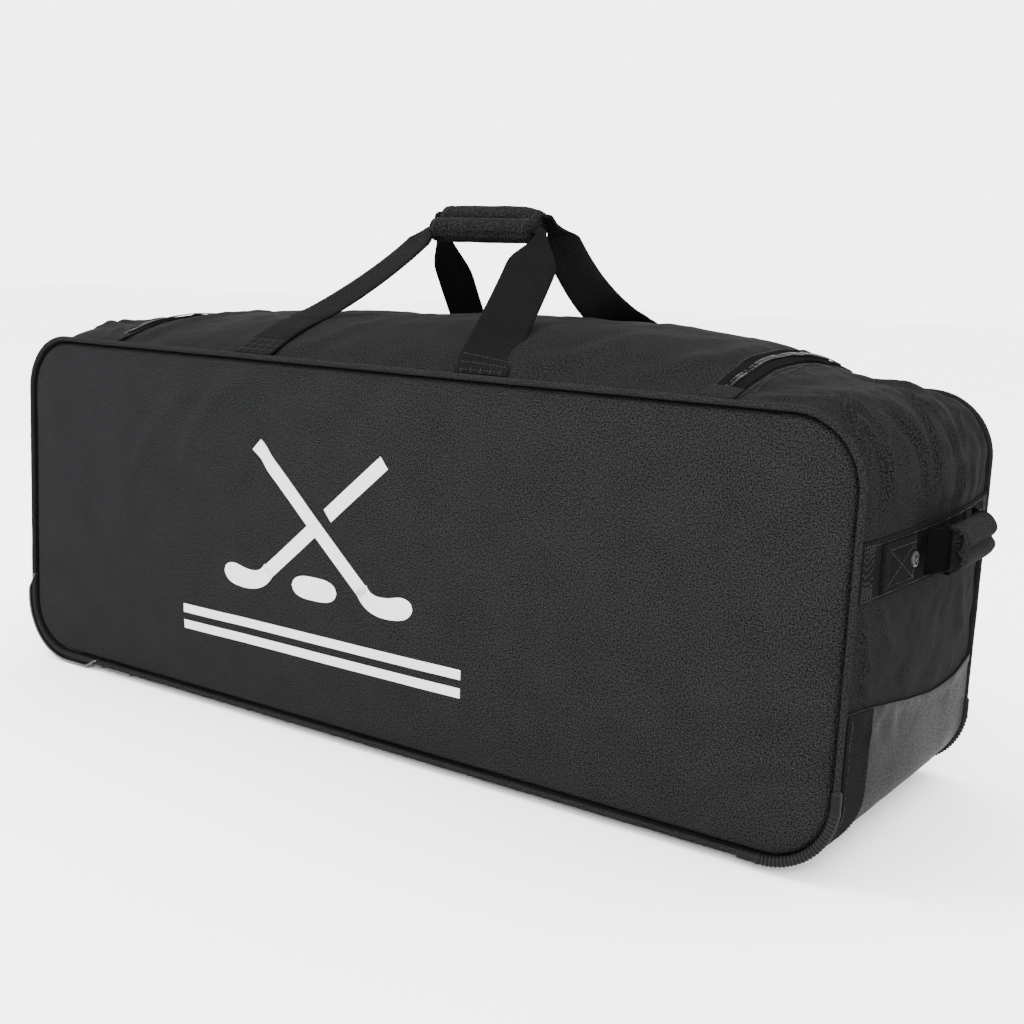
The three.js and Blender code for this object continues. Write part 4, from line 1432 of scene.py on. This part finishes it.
@dataclass
class TopHandle:
    """One of the two carry loops that meet over the bag."""

    form: BagForm
    body_skin: Callable
    name: str
    body: str
    joint: str
    grip_half: float = 0.064
    web: float = 0.050
    web_thickness: float = 0.003
    clearance: float = 0.0034

    def __post_init__(self) -> None:
        """Finds the hinge line and the grip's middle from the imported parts."""
        self.axis = joint_place(self.joint)
        self.grip = box_middle(f"{self.name}_handle_grip")
        rise = self.grip - self.axis
        rise[0] = 0
        self.rise = rise / np.linalg.norm(rise)

    def path(self) -> tuple[Array, Array, Array]:
        """Route of the loop from the wheel-side foot to the pull-side foot.

        Returns:
            Centre points, half the width at each, and how far each section is turned along the seam.
        """
        x = np.array([1.0, 0, 0])
        side = 1 if self.axis[1] > 0 else -1
        routes, widths, biases = [], [], []
        for k, leg in zip((-1, 1), LEGS[self.name]):
            depth = side * np.linspace(self.form.half_y, leg.depth, 9)
            drift = leg.foot + leg.slant * np.linspace(0, 1, 9)
            flat = self.body_skin(drift, depth, self.web_thickness / 2 + 0.0006)
            flat[0] += np.array([0, side * 0.0025, -0.0006])
            end = self.grip + x * k * (self.grip_half + 0.006)
            leave = tangents(flat)[-1]
            ahead = end + x * k * leg.spread - self.rise * leg.drop
            rising = bezier([flat[-1], flat[-1] + leave * leg.leave, ahead, end], 44)
            route = np.concatenate([flat[:-1], rising])
            cloth = self.body_skin(route[:, 0] - self.form.middle_x, route[:, 1], self.clearance)[:, 2]
            raised = np.maximum(route[:, 2], cloth)
            raised[2:-2] = np.convolve(raised, np.full(5, 0.2), mode="valid")
            route[:, 2] = np.maximum(route[:, 2], raised)
            far = np.hypot(route[:, 1] - self.grip[1], route[:, 2] - self.grip[2])
            routes.append(route)
            cut = leg.bias * ease(1 - lengths(route) / 0.050)
            biases.append(cut)
            opened = ease((far - leg.start) / leg.span)
            widths.append((1 + 0.2 * cut) * (leg.folded + (self.web / 2 - leg.folded) * opened))
        inside = np.linspace(routes[0][-1], routes[1][-1], 30)[1:-1]
        narrow = np.linspace(widths[0][-1], widths[1][-1], 28)
        path = np.concatenate([routes[0], inside, routes[1][::-1]])
        bias = np.concatenate([biases[0], narrow * 0, biases[1][::-1]])
        return path, np.concatenate([widths[0], narrow, widths[1][::-1]]), bias

    def build(self) -> None:
        """Builds the webbing loop and its padded grip."""
        path, width, bias = self.path()
        wide, out = carried(path, np.array([1.0, 0, 0]))
        seam = np.array([1.0, 0, 0]) * np.sign(wide[:, :1])
        wide = wide * (1 - bias[:, None]) + seam * bias[:, None]
        wide /= np.linalg.norm(wide, axis=1, keepdims=True)
        out = np.cross(tangents(path), wide)
        out /= np.linalg.norm(out, axis=1, keepdims=True)
        far = np.hypot(path[:, 1] - self.grip[1], path[:, 2] - self.grip[2])
        thick = np.where(far < 0.02, 0.0026, self.web_thickness / 2)
        strap = Webbing(f"{self.name}_carry_strap").make(path, wide, out, width, thick)
        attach(strap, self.body)
        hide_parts(f"{self.name}_handle_webbing")
        self._foot_stitches(path, wide, out)
        self._grip()

    def _foot_stitches(self, path: Array, wide: Array, out: Array) -> None:
        """Adds a box of stitches across each foot."""
        rows, pitch, lift = Beads(f"{self.name}_foot_stitching", THREAD), 0.0034, 0.0017
        along, sewn = lengths(path), np.linspace(0.002, 0.026, 6)
        for places in (sewn, along[-1] - sewn):
            p, w, n = (
                np.stack([np.interp(places, along, rows_of[:, axis]) for axis in range(3)], 1)
                for rows_of in (path, wide, out)
            )
            n = n * np.sign(n[:, 2:3])
            for share in (-0.86, -0.43, 0.0, 0.43, 0.86):
                rows.run(p + w * share * self.web / 2 + n * lift, n, pitch)
            for k in (1, 3, 5):
                line = p[k] + w[k] * np.linspace(-0.9, 0.9, 20)[:, None] * self.web / 2 + n[k] * lift
                rows.run(line, np.tile(n[k], (20, 1)), pitch)
        stitches = rows.make(0.0026, 0.00027)
        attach(stitches, self.body)

    def _grip(self) -> None:
        """Builds the padded part of the wrap on this loop, with hemmed ends."""
        front = self.name == "front"
        deep, tall = (0.0128, 0.0128) if front else (0.0142, 0.0124)
        x = np.sort(np.concatenate([np.linspace(-1, 1, 120), [-0.992, 0.992, -0.86, 0.86, -0.85, 0.85]]))
        turn = np.linspace(0, 2 * math.pi, 48, endpoint=False)
        rings, stitches = [], Beads(f"{self.name}_grip_stitching", THREAD)
        for t in x:
            rings.append(self._ring(t, turn, deep, tall, front))
        grip = loft(f"{self.name}_grip_pad", np.array(rings), [GRIP])
        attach(grip, self.body)
        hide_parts(f"{self.name}_handle_grip")
        for t in (-0.89, 0.89):
            ring = self._ring(t, turn, deep + 0.0001, tall + 0.0001, front)
            stitches.run(ring, ring - (self.grip + np.array([t * self.grip_half, 0, 0])), 0.0030)
        inside = x[4:-4]
        middle = self.grip + np.stack([inside * self.grip_half, inside * 0, inside * 0], -1)
        for angle in (math.radians(200), math.radians(20)):
            place = np.array([angle])
            line = np.array([self._ring(t, place, deep + 0.0001, tall + 0.0001, front)[0] for t in inside])
            stitches.run(line, line - middle, 0.0030)
        rows = stitches.make(0.0022, 0.00032)
        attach(rows, self.body)

    def _ring(self, t: float, turn: Array, deep: float, tall: float, front: bool) -> Array:
        """Cross-section of the grip.

        Args:
            t: Place along the grip, from -1 to 1.
            turn: Angles round it.
            deep: Half depth.
            tall: Half height.
            front: Whether it is the front loop's grip.

        Returns:
            Points of the section.
        """
        pinch = (1 - 0.10 * abs(t) ** 5) * (1 - 0.30 * max(0.0, (abs(t) - 0.965) / 0.035) ** 2)
        hem = 1 + 0.035 * float(ease(np.array((abs(t) - 0.845) / 0.02)))
        soft = 1 + 0.016 * np.sin(3 * turn + 7 * t) * math.cos(5 * t) + 0.012 * np.sin(2 * turn - 9 * t)
        seam = 1 - 0.10 * np.exp(-(((turn - math.radians(200)) / 0.10) ** 2))
        flat = 1 if front else 1 + 0.05 * np.cos(4 * turn)
        r = pinch * hem * soft * seam * flat
        droop = 0.0 if front else -0.006 * max(0.0, t - 0.55) ** 1.5 / 0.3
        return np.stack(
            [
                np.full_like(turn, self.grip[0] + t * self.grip_half),
                self.grip[1] + deep * r * np.cos(turn),
                self.grip[2] + tall * r * np.sin(turn) + droop,
            ],
            -1,
        )


def ribbon(
    name: str,
    surface: Callable,
    path: Array,
    half: Array,
    lift: float,
    thickness: float,
    finishes: Sequence[Finish],
    cell: float,
) -> bpy.types.Object:
    """Thin flat strip on a surface, given by a centre line in the surface's own coordinates.

    Args:
        name: The piece's name.
        surface: Function of two coordinates and a lift that gives points.
        path: Centre line, n by 2.
        half: Half width at each point.
        lift: Height of the strip's face.
        thickness: Its thickness.
        finishes: Its materials.
        cell: Grid size.

    Returns:
        The object.
    """
    length = lengths(path)[-1]
    count = max(3, int(length / cell))
    both = resample(np.concatenate([path, np.asarray(half)[:, None]], axis=1), count)
    line, h = both[:, :2], both[:, 2:]
    ahead = tangents(line)
    side = np.stack([-ahead[:, 1], ahead[:, 0]], -1)
    across = np.linspace(-1, 1, max(3, int(2 * float(np.max(half)) / cell) + 1))
    spot = line[:, None, :] + side[:, None, :] * (h * across[None, :])[..., None]
    u, v = spot[..., 0], spot[..., 1]
    return shell(name, surface(u, v, lift), surface(u, v, lift - thickness), spot, finishes)


def lathe(
    name: str,
    profile: Array,
    centre: Array,
    axis: Sequence[float],
    finishes: Sequence[Finish],
    sides: int = 40,
) -> bpy.types.Object:
    """Turned piece: a profile of radius and height spun about an axis.

    Args:
        name: The piece's name.
        profile: Radius and height pairs, from the bottom outside to the top middle.
        centre: Foot of the axis.
        axis: Unit direction of the axis.
        finishes: Materials.
        sides: Number of sides.

    Returns:
        The object.
    """
    axis = np.asarray(axis, float) / np.linalg.norm(axis)
    first = np.cross(axis, [0.0, 1.0, 0.0]) if abs(axis[1]) < 0.9 else np.cross(axis, [1.0, 0.0, 0.0])
    first /= np.linalg.norm(first)
    second = np.cross(axis, first)
    turn = np.linspace(0, 2 * math.pi, sides, endpoint=False)
    ring = np.cos(turn)[:, None] * first + np.sin(turn)[:, None] * second
    rings = np.array([centre + axis * z + ring * max(r, 1e-5) for r, z in profile])
    return loft(name, rings, finishes)


# ---- Zip --------------------------------------------------------------------------------------


@dataclass
class Closure:
    """Two-way zip round three sides of the lid: tapes, coil and end tabs.

    Each line of it is given by the arc length of its legs and the depth of its run along the back.
    """

    body: SewnBody
    front_y: float = -0.155
    tape: float = 0.0104
    line: tuple[float, float] = (0.376, 0.106)
    lid_tape: tuple[float, float] = (0.369, 0.099)
    bag_tape: tuple[float, float] = (0.383, 0.113)
    lid_row: tuple[float, float] = (0.361, 0.091)
    bag_row: tuple[float, float] = (0.391, 0.121)
    corner: float = 0.012

    def route(self, s: float, y: float, end: float, count: int = 420) -> Array:
        """Route of one line of the zip: up one leg, along the back and down the other.

        Args:
            s: Arc length of the legs.
            y: Depth of the run along the back.
            end: Depth at which the legs stop.
            count: Number of points.

        Returns:
            Arc lengths and depths, n by 2, with rounded corners.
        """
        turn = np.linspace(0, math.pi / 2, 12)
        r = self.corner
        first = np.stack([-s + r - r * np.cos(turn), y - r + r * np.sin(turn)], -1)
        second = np.stack([s - r + r * np.sin(turn), y - r + r * np.cos(turn)], -1)
        line = np.concatenate([[[-s, end]], first, second, [[s, end]]])
        return resample(line, count)

    def build(self) -> None:
        """Builds the zip."""
        for name, line, body in (("lid", self.lid_tape, "lid"), ("body", self.bag_tape, "bag")):
            self._tape(f"zip_tape_{name}_cloth", line, body, f"zip_tape_{name}")
        coil = Beads("zip_coil_turns", COIL, sides=6)
        for offset in (-0.00155, 0.00155):
            path = self.route(self.line[0] + offset, self.line[1] + offset, self.front_y, 1400)
            coil.run(self._at(path, 0.0034), self._normal(path), 0.00155, across=True)
        turns = coil.make(0.0028, 0.00075, 1.1)
        self.body.give(turns, "lid", "zip_coil", "zip_coil")
        for body, line in (("lid", self.lid_row), ("bag", self.bag_row)):
            rows = Beads(f"zip_stitching_{body}", THREAD)
            path = self.route(*line, self.front_y, 900)
            rows.run(self._at(path, 0.0003), self._normal(path), 0.0036)
            self.body.give(rows.make(0.0027, 0.00028), body, "zip_tape")
        for side, name in ((1, "pull"), (-1, "wheel")):
            ends = (side * 0.3605, side * 0.3915)
            tab = self.body.patch(
                f"zip_end_tab_{name}", ends, (-0.1655, -0.1435), 0.0048, self.body.cloth, (GUSSET,),
                steps=(0.002, 0.002),
            )
            self.body.give(tab, "lid", "polyester", f"zip_tab_{name}")

    def _at(self, path: Array, lift: float) -> Array:
        """Points on the skin along a route."""
        return self.body.surface(path[:, 0], path[:, 1], lift)

    def _normal(self, path: Array) -> Array:
        """Normals of the skin along a route."""
        return self.body.normals(path[:, 0], path[:, 1])

    def _tape(self, name: str, line: tuple[float, float], body: str, node: str) -> None:
        """Builds one tape as a thin flat strip on the skin.

        Args:
            name: The piece's name.
            line: Its middle line.
            body: Body it rides on.
            node: Solid that it stands for.
        """
        path = self.route(*line, self.front_y, 620)
        half = np.full(len(path), self.tape / 2)
        tape = ribbon(name, self.body.surface, path, half, 0.0021, 0.0016, (ZIP_TAPE,), cell=0.0023)
        self.body.give(tape, body, "zip_tape", node)


# ---- Trim of the pull end ---------------------------------------------------------------------


# Turned outline of a rivet's head, in millimetres: rolled rim, dished ring and a low dome.
RIVET_HEAD = (
    (6.6, -3.0), (6.6, 0.2), (6.4, 0.9), (5.8, 1.45), (5.0, 1.6), (4.3, 1.3), (3.9, 0.7), (3.6, 0.45),
    (2.9, 0.5), (2.5, 1.0), (1.9, 1.35), (1.0, 1.5), (0.01, 1.55),
)


@dataclass
class EndTrim:
    """Webbing band, handle patches, rivets and the tarpaulin's webbing strip."""

    body: SewnBody
    rib: float = 0.0040
    rib_height: float = 0.00080
    tilt: float = 0.027
    strip_y: tuple[float, float] = (-0.1645, -0.1165)

    def build(self) -> None:
        """Builds the trim."""
        low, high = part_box("pull_end_band")
        form = self.body.form
        s0, s1 = form.s_at(high.z), form.s_at(low.z)
        band = self.body.patch(
            "pull_end_band_webbing", (self._tilted(s0), self._tilted(s1)), (-0.1645, 0.1645), 0.0028,
            0.0022, (WEBBING,), steps=(0.0045, self.rib / 5), relief=lambda s, y: self._ribs(y),
        )
        self.body.give(band, "bag", "webbing", "pull_end_band")
        strip = self.body.patch(
            "tarpaulin_edge_webbing", (self.body.tarp_edge(1, 0.0006), form.s_arc2 + 0.006), self.strip_y,
            0.0046, 0.0022, (WEBBING,), steps=(self.rib / 5, 0.0045),
            relief=lambda s, y: self._ribs(s) - 0.0008 * ease((s - form.s_arc2) / 0.006),
        )
        self.body.give(strip, "bag", "webbing", "tarpaulin_webbing")
        self._bartacks(s0, s1)
        low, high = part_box("handle_anchor_front")
        p0, p1 = form.s_at(high.z), form.s_at(low.z)
        patch_y = (-high.y, -low.y)
        for side, name in ((-1, "front"), (1, "rear")):
            depths = tuple(sorted(side * v for v in patch_y))
            anchor = self.body.patch(
                f"handle_anchor_{name}_webbing", (self._tilted(p0), self._tilted(p1)), depths, 0.0056,
                0.0026, (WEBBING,), steps=(0.004, self.rib / 5),
                relief=lambda s, y: self._ribs(y) + 0.0014 * self._fold(y, patch_y[1]),
            )
            self.body.give(anchor, "bag", "webbing", f"handle_anchor_{name}")
            self._box_stitch(p0 + 0.005, p1 - 0.005, depths[0] + 0.007, depths[1] - 0.007)
            self._rivet(name)

    def _tilted(self, s: float) -> Callable:
        """Arc length that rises a little towards the rear."""
        return lambda y: s - self.tilt * np.asarray(y, float)

    def _ribs(self, t: Array) -> Array:
        """Relief of the ribbed weave across a webbing."""
        return self.rib_height * (np.abs(np.sin(np.pi * t / self.rib)) ** 0.7 - 1)

    def _fold(self, y: Array, end: float) -> Array:
        """Folded-under outer end of a patch, twice as thick."""
        return 1 - ease((end - np.abs(y) - 0.006) / 0.003)

    def _box_stitch(self, s0: float, s1: float, y0: float, y1: float) -> None:
        """Adds a rectangle of stitches with a cross in it."""
        corners = [(s0, y0), (s0, y1), (s1, y1), (s1, y0), (s0, y0), (s1, y1), (s1, y0), (s0, y1)]
        for a, b in zip(corners, corners[1:]):
            s, y = np.linspace(a[0], b[0], 50), np.linspace(a[1], b[1], 50)
            self.body.seam(s - self.tilt * y, y, 0.0060, 0.0030)

    def _bartacks(self, s0: float, s1: float) -> None:
        """Adds dense zigzag tacks at both ends of the band and along its edges."""
        for side in (-1, 1):
            for k in range(7):
                y = side * (0.1615 - 0.0026 * k)
                s = np.linspace(s0 + 0.003, s1 - 0.003, 60) - self.tilt * y
                self.body.seam(s, np.full(60, y), 0.0031, 0.0034)
        for s in (s0 + 0.0035, s1 - 0.0035):
            y = np.linspace(-0.142, 0.142, 140)
            self.body.seam(s - self.tilt * y, y, 0.0030, 0.0036)
        form = self.body.form
        for y in (self.strip_y[0] + 0.004, self.strip_y[1] - 0.003):
            s = np.linspace(form.s_at(0.1405), form.s_arc2, 120)
            self.body.seam(s, np.full(120, y), 0.0049, 0.0036)

    def _rivet(self, name: str) -> None:
        """Builds a pressed rivet with a dished head and a bright rolled rim."""
        centre = box_middle(f"handle_rivet_{name}")
        centre[0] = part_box(f"handle_rivet_{name}")[1].x - 0.0022
        centre[2] += self.tilt * centre[1]
        head = lathe(f"handle_rivet_{name}_head", np.array(RIVET_HEAD) * MM, centre, (1, 0, 0), (GUNMETAL,))
        self.body.give(head, "bag", "rivet_metal", f"handle_rivet_{name}")


@dataclass
class EndHandle:
    """The padded pull handle between the two patches."""

    body: SewnBody
    arch: float = 0.0625
    grip_half: float = 0.0470
    web: float = 0.040
    tilt: float = 0.027

    def build(self) -> None:
        """Builds the webbing arch and the two-lobed wrap."""
        low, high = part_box("end_handle_webbing")
        wrap_low, wrap_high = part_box("end_handle_grip")
        z = (low.z + high.z) / 2
        root = low.x + 0.0016
        crown = (wrap_low.x + wrap_high.x) / 2 - 0.002
        y = np.linspace(-1, 1, 160)
        bow = np.clip((1 - np.abs(y)) / 0.42, 0, 1)
        x = root + (crown - root) * (np.sin(bow * math.pi / 2) ** 0.8)
        path = np.stack([x, y * self.arch, z + self.tilt * y * self.arch], -1)
        up = np.tile([0.0, 0.0, 1.0], (len(path), 1))
        out = np.cross(tangents(path), up)
        narrow = 1 - 0.2 * ease(bow)
        half, thick = self.web / 2 * narrow, np.full(len(path), 0.0013)
        # Painted shade: the strap gets a darker copy of the webbing to stand in for the shadow that falls on it.
        strap = Webbing("end_handle_strap", finish=WEBBING_PAINTED_SHADE).make(path, up, out, half, thick)
        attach(strap, "end_handle")
        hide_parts("end_handle_webbing")
        self._wrap(path, z, (wrap_high.z - wrap_low.z) / 2, (wrap_high.x - wrap_low.x) / 2)

    def _wrap(self, path: Array, z: float, tall: float, deep: float) -> None:
        """Builds the padded wrap, which folds over the strap and closes in a groove.

        Args:
            path: The strap's centre line.
            z: Height of its middle.
            tall: Half height of the wrap.
            deep: Half depth of the wrap.
        """
        y = np.sort(np.concatenate([np.linspace(-1, 1, 90), [-0.985, 0.985, -0.87, 0.87, -0.86, 0.86]]))
        turn = np.linspace(0, 2 * math.pi, 56, endpoint=False)
        to_back, to_front = turn - math.pi, np.minimum(turn, 2 * math.pi - turn)
        groove = 1 - 0.36 * np.exp(-((to_back / 0.22) ** 2)) - 0.36 * np.exp(-((to_front / 0.22) ** 2))
        rings = []
        for t in y:
            x0 = np.interp(t * self.grip_half, path[:, 1], path[:, 0])
            rolled = 0.05 * float(ease(np.array((abs(t) - 0.93) / 0.012)))
            end = 1 + rolled - 0.10 * max(0.0, (abs(t) - 0.985) / 0.015) ** 2
            hem = 1 - 0.035 * math.exp(-(((abs(t) - 0.865) / 0.012) ** 2))
            soft = 1 + 0.014 * np.sin(2 * turn + 4 * t) * math.cos(3 * t)
            r = groove * end * hem * soft
            along = t * self.grip_half
            height = z + self.tilt * along + tall * r * np.sin(turn)
            rings.append(np.stack([x0 + deep * r * np.cos(turn), np.full_like(turn, along), height], -1))
        for first, last in ((0, 1), (-1, 0)):
            rim = rings[first]
            middle = rim.mean(0) + np.array([0, 0.0030 if last else -0.0030, 0])
            hollow = [middle + (rim - rim.mean(0)) * share for share in (0.78, 0.82)]
            rings = [*hollow, *rings] if last else [*rings, *hollow[::-1]]
        wrap = loft("end_handle_wrap", np.array(rings), [GRIP])
        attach(wrap, "end_handle")
        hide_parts("end_handle_grip")


# ---- Moulded corner guards --------------------------------------------------------------------


@dataclass
class CornerGuard:
    """Ribbed rubber guard moulded round the piping at the pull end's lower corners."""

    form: BagForm
    side: int
    start_z: float = 0.085
    end_x: float = 0.428
    ribs: int = 24
    cuff: float = 0.022
    proud: float = 0.0012

    def build(self) -> None:
        """Builds the guard as one tube with cuffs at its ends and ribs between."""
        f = self.form
        s0 = f.s_at(self.start_z)
        s1 = f.s_arc2 + f.half_l - f.foot_radius - self.end_x
        s = np.linspace(s0, s1, 560)
        p, n = f.outline(s)
        along = s - s0
        mid = (along > self.cuff) & (along < along[-1] - self.cuff)
        pitch = (along[-1] - 2 * self.cuff) / self.ribs
        wave = 0.5 - 0.5 * np.cos(2 * math.pi * (along - self.cuff) / pitch)
        r = np.where(mid, 0.0036 + 0.0011 * np.clip(wave, 0, 1) ** 0.6, 0.0042)
        near = np.minimum(along, along[-1] - along)
        r = r - 0.0012 * (1 - ease(near / 0.0016))
        r = r + 0.0006 * np.exp(-((near - self.cuff + 0.003) / 0.0016) ** 2)
        turn = np.linspace(0, 2 * math.pi, 24, endpoint=False)
        rings = np.stack(
            [
                p[:, :1] + n[:, :1] * (self.proud + r[:, None] * np.cos(turn)),
                self.side * f.seam_y + r[:, None] * np.sin(turn) * 0.96,
                p[:, 1:] + n[:, 1:] * (self.proud + r[:, None] * np.cos(turn)),
            ],
            -1,
        )
        name = "front" if self.side < 0 else "rear"
        guard = loft(f"corner_guard_{name}_ribbed", rings, [RUBBER], along=s)
        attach(guard, "bag")
        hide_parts(f"corner_guard_{name}")


@dataclass
class HousingRim:
    """Rolled rim of a wheel housing that hugs the piping round the wheel end's lower corner."""

    form: BagForm
    side: int
    start_z: float = 0.100
    reach: float = 0.055
    proud: float = 0.0085
    depth: float = 0.0130
    thickness: float = 0.0030

    def build(self) -> None:
        """Builds the rim as one rounded strip that sinks into the housing at both ends."""
        f = self.form
        s = -np.linspace(f.s_at(self.start_z), f.s_arc2 + self.reach, 160)
        p, n = f.outline(s)
        away = np.minimum(np.abs(s - s[0]), np.abs(s - s[-1]))
        out = (-0.001 + (self.proud + 0.001) * ease(away / 0.022))[:, None]
        turn = np.linspace(0, 2 * math.pi, 20, endpoint=False)
        across = np.sign(np.cos(turn)) * np.abs(np.cos(turn)) ** 0.6 * self.thickness / 2
        deep = np.sign(np.sin(turn)) * np.abs(np.sin(turn)) ** 0.6 * self.depth / 2
        offset = out + across - 0.0012 * np.clip(-self.side * deep / self.depth, 0, 1)
        y = np.broadcast_to(self.side * (f.half_y + 0.0015) + deep, offset.shape)
        rings = np.stack([p[:, :1] + n[:, :1] * offset, y, p[:, 1:] + n[:, 1:] * offset], -1)
        name = "front" if self.side < 0 else "rear"
        rim = loft(f"wheel_housing_rim_{name}", rings, [ABS], along=s)
        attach(rim, "bag")


# ---- Printed emblem ---------------------------------------------------------------------------


@dataclass
class Emblem:
    """Plain screen print on the front wall: two crossed sticks, a puck and two bars."""

    panel: FacePanel
    centre: tuple[float, float] = (-0.048, 0.220)
    ink: float = 0.0003
    stick: float = 0.0075

    def build(self) -> None:
        """Builds each printed shape as a thin layer on the cloth."""
        middle = self.panel.form.middle_x
        cx, cz = middle + self.centre[0], self.centre[1]
        shapes = []
        for side in (-1, 1):
            top = np.array([cx + side * 0.086, cz + 0.076])
            heel = np.array([cx - side * 0.066, cz - 0.056])
            toe = heel + np.array([-side * 0.060, -0.003])
            shaft = np.linspace(top, heel, 40)
            if side > 0:
                shapes += [(shaft[:19], np.full(19, self.stick)), (shaft[22:], np.full(18, self.stick))]
            else:
                shapes.append((shaft, np.full(40, self.stick)))
            corners = np.array([(0.004, 0.006), (-0.004, -0.012), (-0.026, -0.014)]) * (side, 1) + heel
            blade = bezier([*corners, toe], 70)
            t = np.linspace(0, 1, 70)
            tip = np.sqrt(np.clip(1 - (np.clip(t - 0.84, 0, None) / 0.165) ** 2, 0, 1))
            shapes.append((blade, np.interp(t, [0, 0.3, 0.8, 1], [self.stick, 0.0088, 0.0112, 0.0112]) * tip))
        t = np.linspace(-1, 1, 41)
        puck = np.stack([cx + t * 0.030, np.full_like(t, cz - 0.062)], -1)
        shapes.append((puck, 0.0120 * np.sqrt(np.clip(1 - np.abs(t) ** 3.2, 0.002, 1))))
        for z in (0.106, 0.088):
            bar = np.stack([middle + np.linspace(-0.238, 0.138, 90), np.full(90, z)], -1)
            shapes.append((bar, np.full(90, 0.0048)))
        for k, (path, half) in enumerate(shapes):
            print_piece = ribbon(
                f"printed_emblem_{k}", self.panel.point, path, half, self.ink, self.ink * 1.6, (INK,), 0.0022
            )
            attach(print_piece, "bag")


# ---- Stage ------------------------------------------------------------------------------------


@dataclass
class Studio:
    """Pale floor, soft lights and the camera."""

    form: BagForm

    def build(self) -> None:
        """Builds the stage."""
        self._camera()
        self._floor()
        for name, place, size, power, aim in (
            ("key_softbox", (-1.7, -1.6, 2.4), 0.9, 95.0, (-0.1, 0.0, 0.25)),
            ("side_softbox", (1.3, -2.7, 1.7), 0.6, 60.0, (0.45, 0.0, 0.2)),
            ("top_softbox", (0.2, 0.5, 2.9), 1.6, 12.0, (0.1, 0.0, 0.3)),
            ("back_softbox", (-1.2, 2.6, 2.2), 2.2, 10.0, (0.0, 0.0, 0.3)),
        ):
            self._softbox(name, place, size, power, aim)
        world = bpy.data.worlds.new("studio_world")
        world.use_nodes = True
        world.node_tree.nodes["Background"].inputs[0].default_value = linear("f5f5f5")
        world.node_tree.nodes["Background"].inputs[1].default_value = 5.4
        bpy.context.scene.world = world

    def _camera(self) -> None:
        """Sets the camera a little above the bag and to its pull end, rolled 2.7 degrees."""
        right = Vector((0.82038, 0.56997, 0.04596)).normalized()
        back = Vector((0.55639, -0.81421, 0.16582)).normalized()
        up = back.cross(right).normalized()
        right = up.cross(back).normalized()
        data = bpy.data.cameras.new("camera")
        data.sensor_width = 36.0
        data.lens = 47.97
        data.clip_end = 50.0
        camera = bpy.data.objects.new("camera", data)
        bpy.context.scene.collection.objects.link(camera)
        turn = Matrix((right, up, back)).transposed().to_4x4()
        base = self.form.z_bot - self.form.pipe_radius
        camera.matrix_world = Matrix.Translation((self.form.middle_x + 0.871, -1.175, base + 0.464)) @ turn
        bpy.context.scene.camera = camera

    def _floor(self) -> None:
        """Makes a wide round floor, level out to the horizon."""
        radii, around = (0.0001, 1.0, 3.0, 8.0, 30.0), np.linspace(0, 2 * math.pi, 64, endpoint=False)
        points = np.array([(r * math.cos(a), r * math.sin(a), 0.0) for r in radii for a in around])
        floor = mesh_piece("studio_floor", points, grid_faces(len(radii), len(around), 0, wrap=True), [FLOOR])
        floor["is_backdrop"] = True

    def _softbox(self, name: str, place: tuple, size: float, power: float, aim: tuple) -> None:
        """Adds a square area light that looks at a point."""
        data = bpy.data.lights.new(name, "AREA")
        data.size, data.energy = size, power
        light = bpy.data.objects.new(name, data)
        bpy.context.scene.collection.objects.link(light)
        light.location = place
        light.rotation_euler = (Vector(aim) - Vector(place)).to_track_quat("-Z", "Y").to_euler()


# ---- CAD pieces that keep their shape ---------------------------------------------------------


def dress_frame() -> None:
    """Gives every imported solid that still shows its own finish."""
    by_slot = {
        "polyester": POLYESTER, "tarpaulin": TARPAULIN, "webbing": WEBBING, "zip_tape": ZIP_TAPE,
        "zip_coil": COIL, "grip_fabric": GRIP, "guard_rubber": RUBBER, "housing_plastic": ABS,
        "hub_plastic": NYLON, "wheel_tyre": POLYURETHANE, "board_plastic": POLYETHYLENE, "axle_steel": STEEL,
        "screw_steel": STEEL, "rivet_metal": GUNMETAL, "zip_metal": GUNMETAL,
    }
    slots = {row["node"]: row["material_slot"] for row in frame["record"]["subparts"]}
    for name, node in frame["nodes"].items():
        node.data.materials.clear()
        node.data.materials.append(by_slot[slots[name]].make())


def main() -> None:
    """Builds the bag's looks and the studio."""
    logging.basicConfig(level=logging.INFO, format="%(name)s: %(message)s")
    form = BagForm()
    Studio(form).build()
    LOG.info("studio ready")
    dress_frame()
    low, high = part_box("pull_end_band")
    band_s = form.s_at((low.z + high.z) / 2)
    held = (band_s - 0.021, band_s + 0.021)
    end_panel = ClothPanel(form, (0.392, 0.772), (-form.half_y, form.half_y), (0.012, 0.050), held_s=held)
    lid_panel = ClothPanel(
        form, (-0.374, 0.374), (-0.158, 0.104), (0.016, 0.022), cell=0.0075, keep=0.8, smooth=0.04, most=0.004
    )
    creases = Creases(form, band_s, end_panel, lid_panel)
    body = SewnBody(form, creases)
    body.build_ends()
    body.build_bottom()
    body.build_top()
    LOG.info("gusset, tarpaulin and lid sewn")
    walls = [FacePanel(form, side, seed=40 + side) for side in (-1, 1)]
    for wall in walls:
        wall.build()
        CornerGuard(form, wall.side).build()
        HousingRim(form, wall.side).build()
    LOG.info("front and rear walls piped and guarded")
    Emblem(walls[0]).build()
    LOG.info("front wall printed")
    Closure(body).build()
    LOG.info("zip set in")
    EndTrim(body).build()
    EndHandle(body).build()
    LOG.info("pull end trimmed")
    TopHandle(form, body.surface, "front", "front_handle", "front_handle_swing").build()
    TopHandle(form, body.surface, "rear", "rear_handle", "rear_handle_swing").build()
    LOG.info("carry handles made")
    stitching = body.stitches.make(0.0026, 0.00028)
    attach(stitching, "bag")
    plain = lambda box: [[float(v) for v in corner] for corner in box]
    {"cad": plain(CAD_BOX), "visual": plain(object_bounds())}


if __name__ == "__main__":
    main()
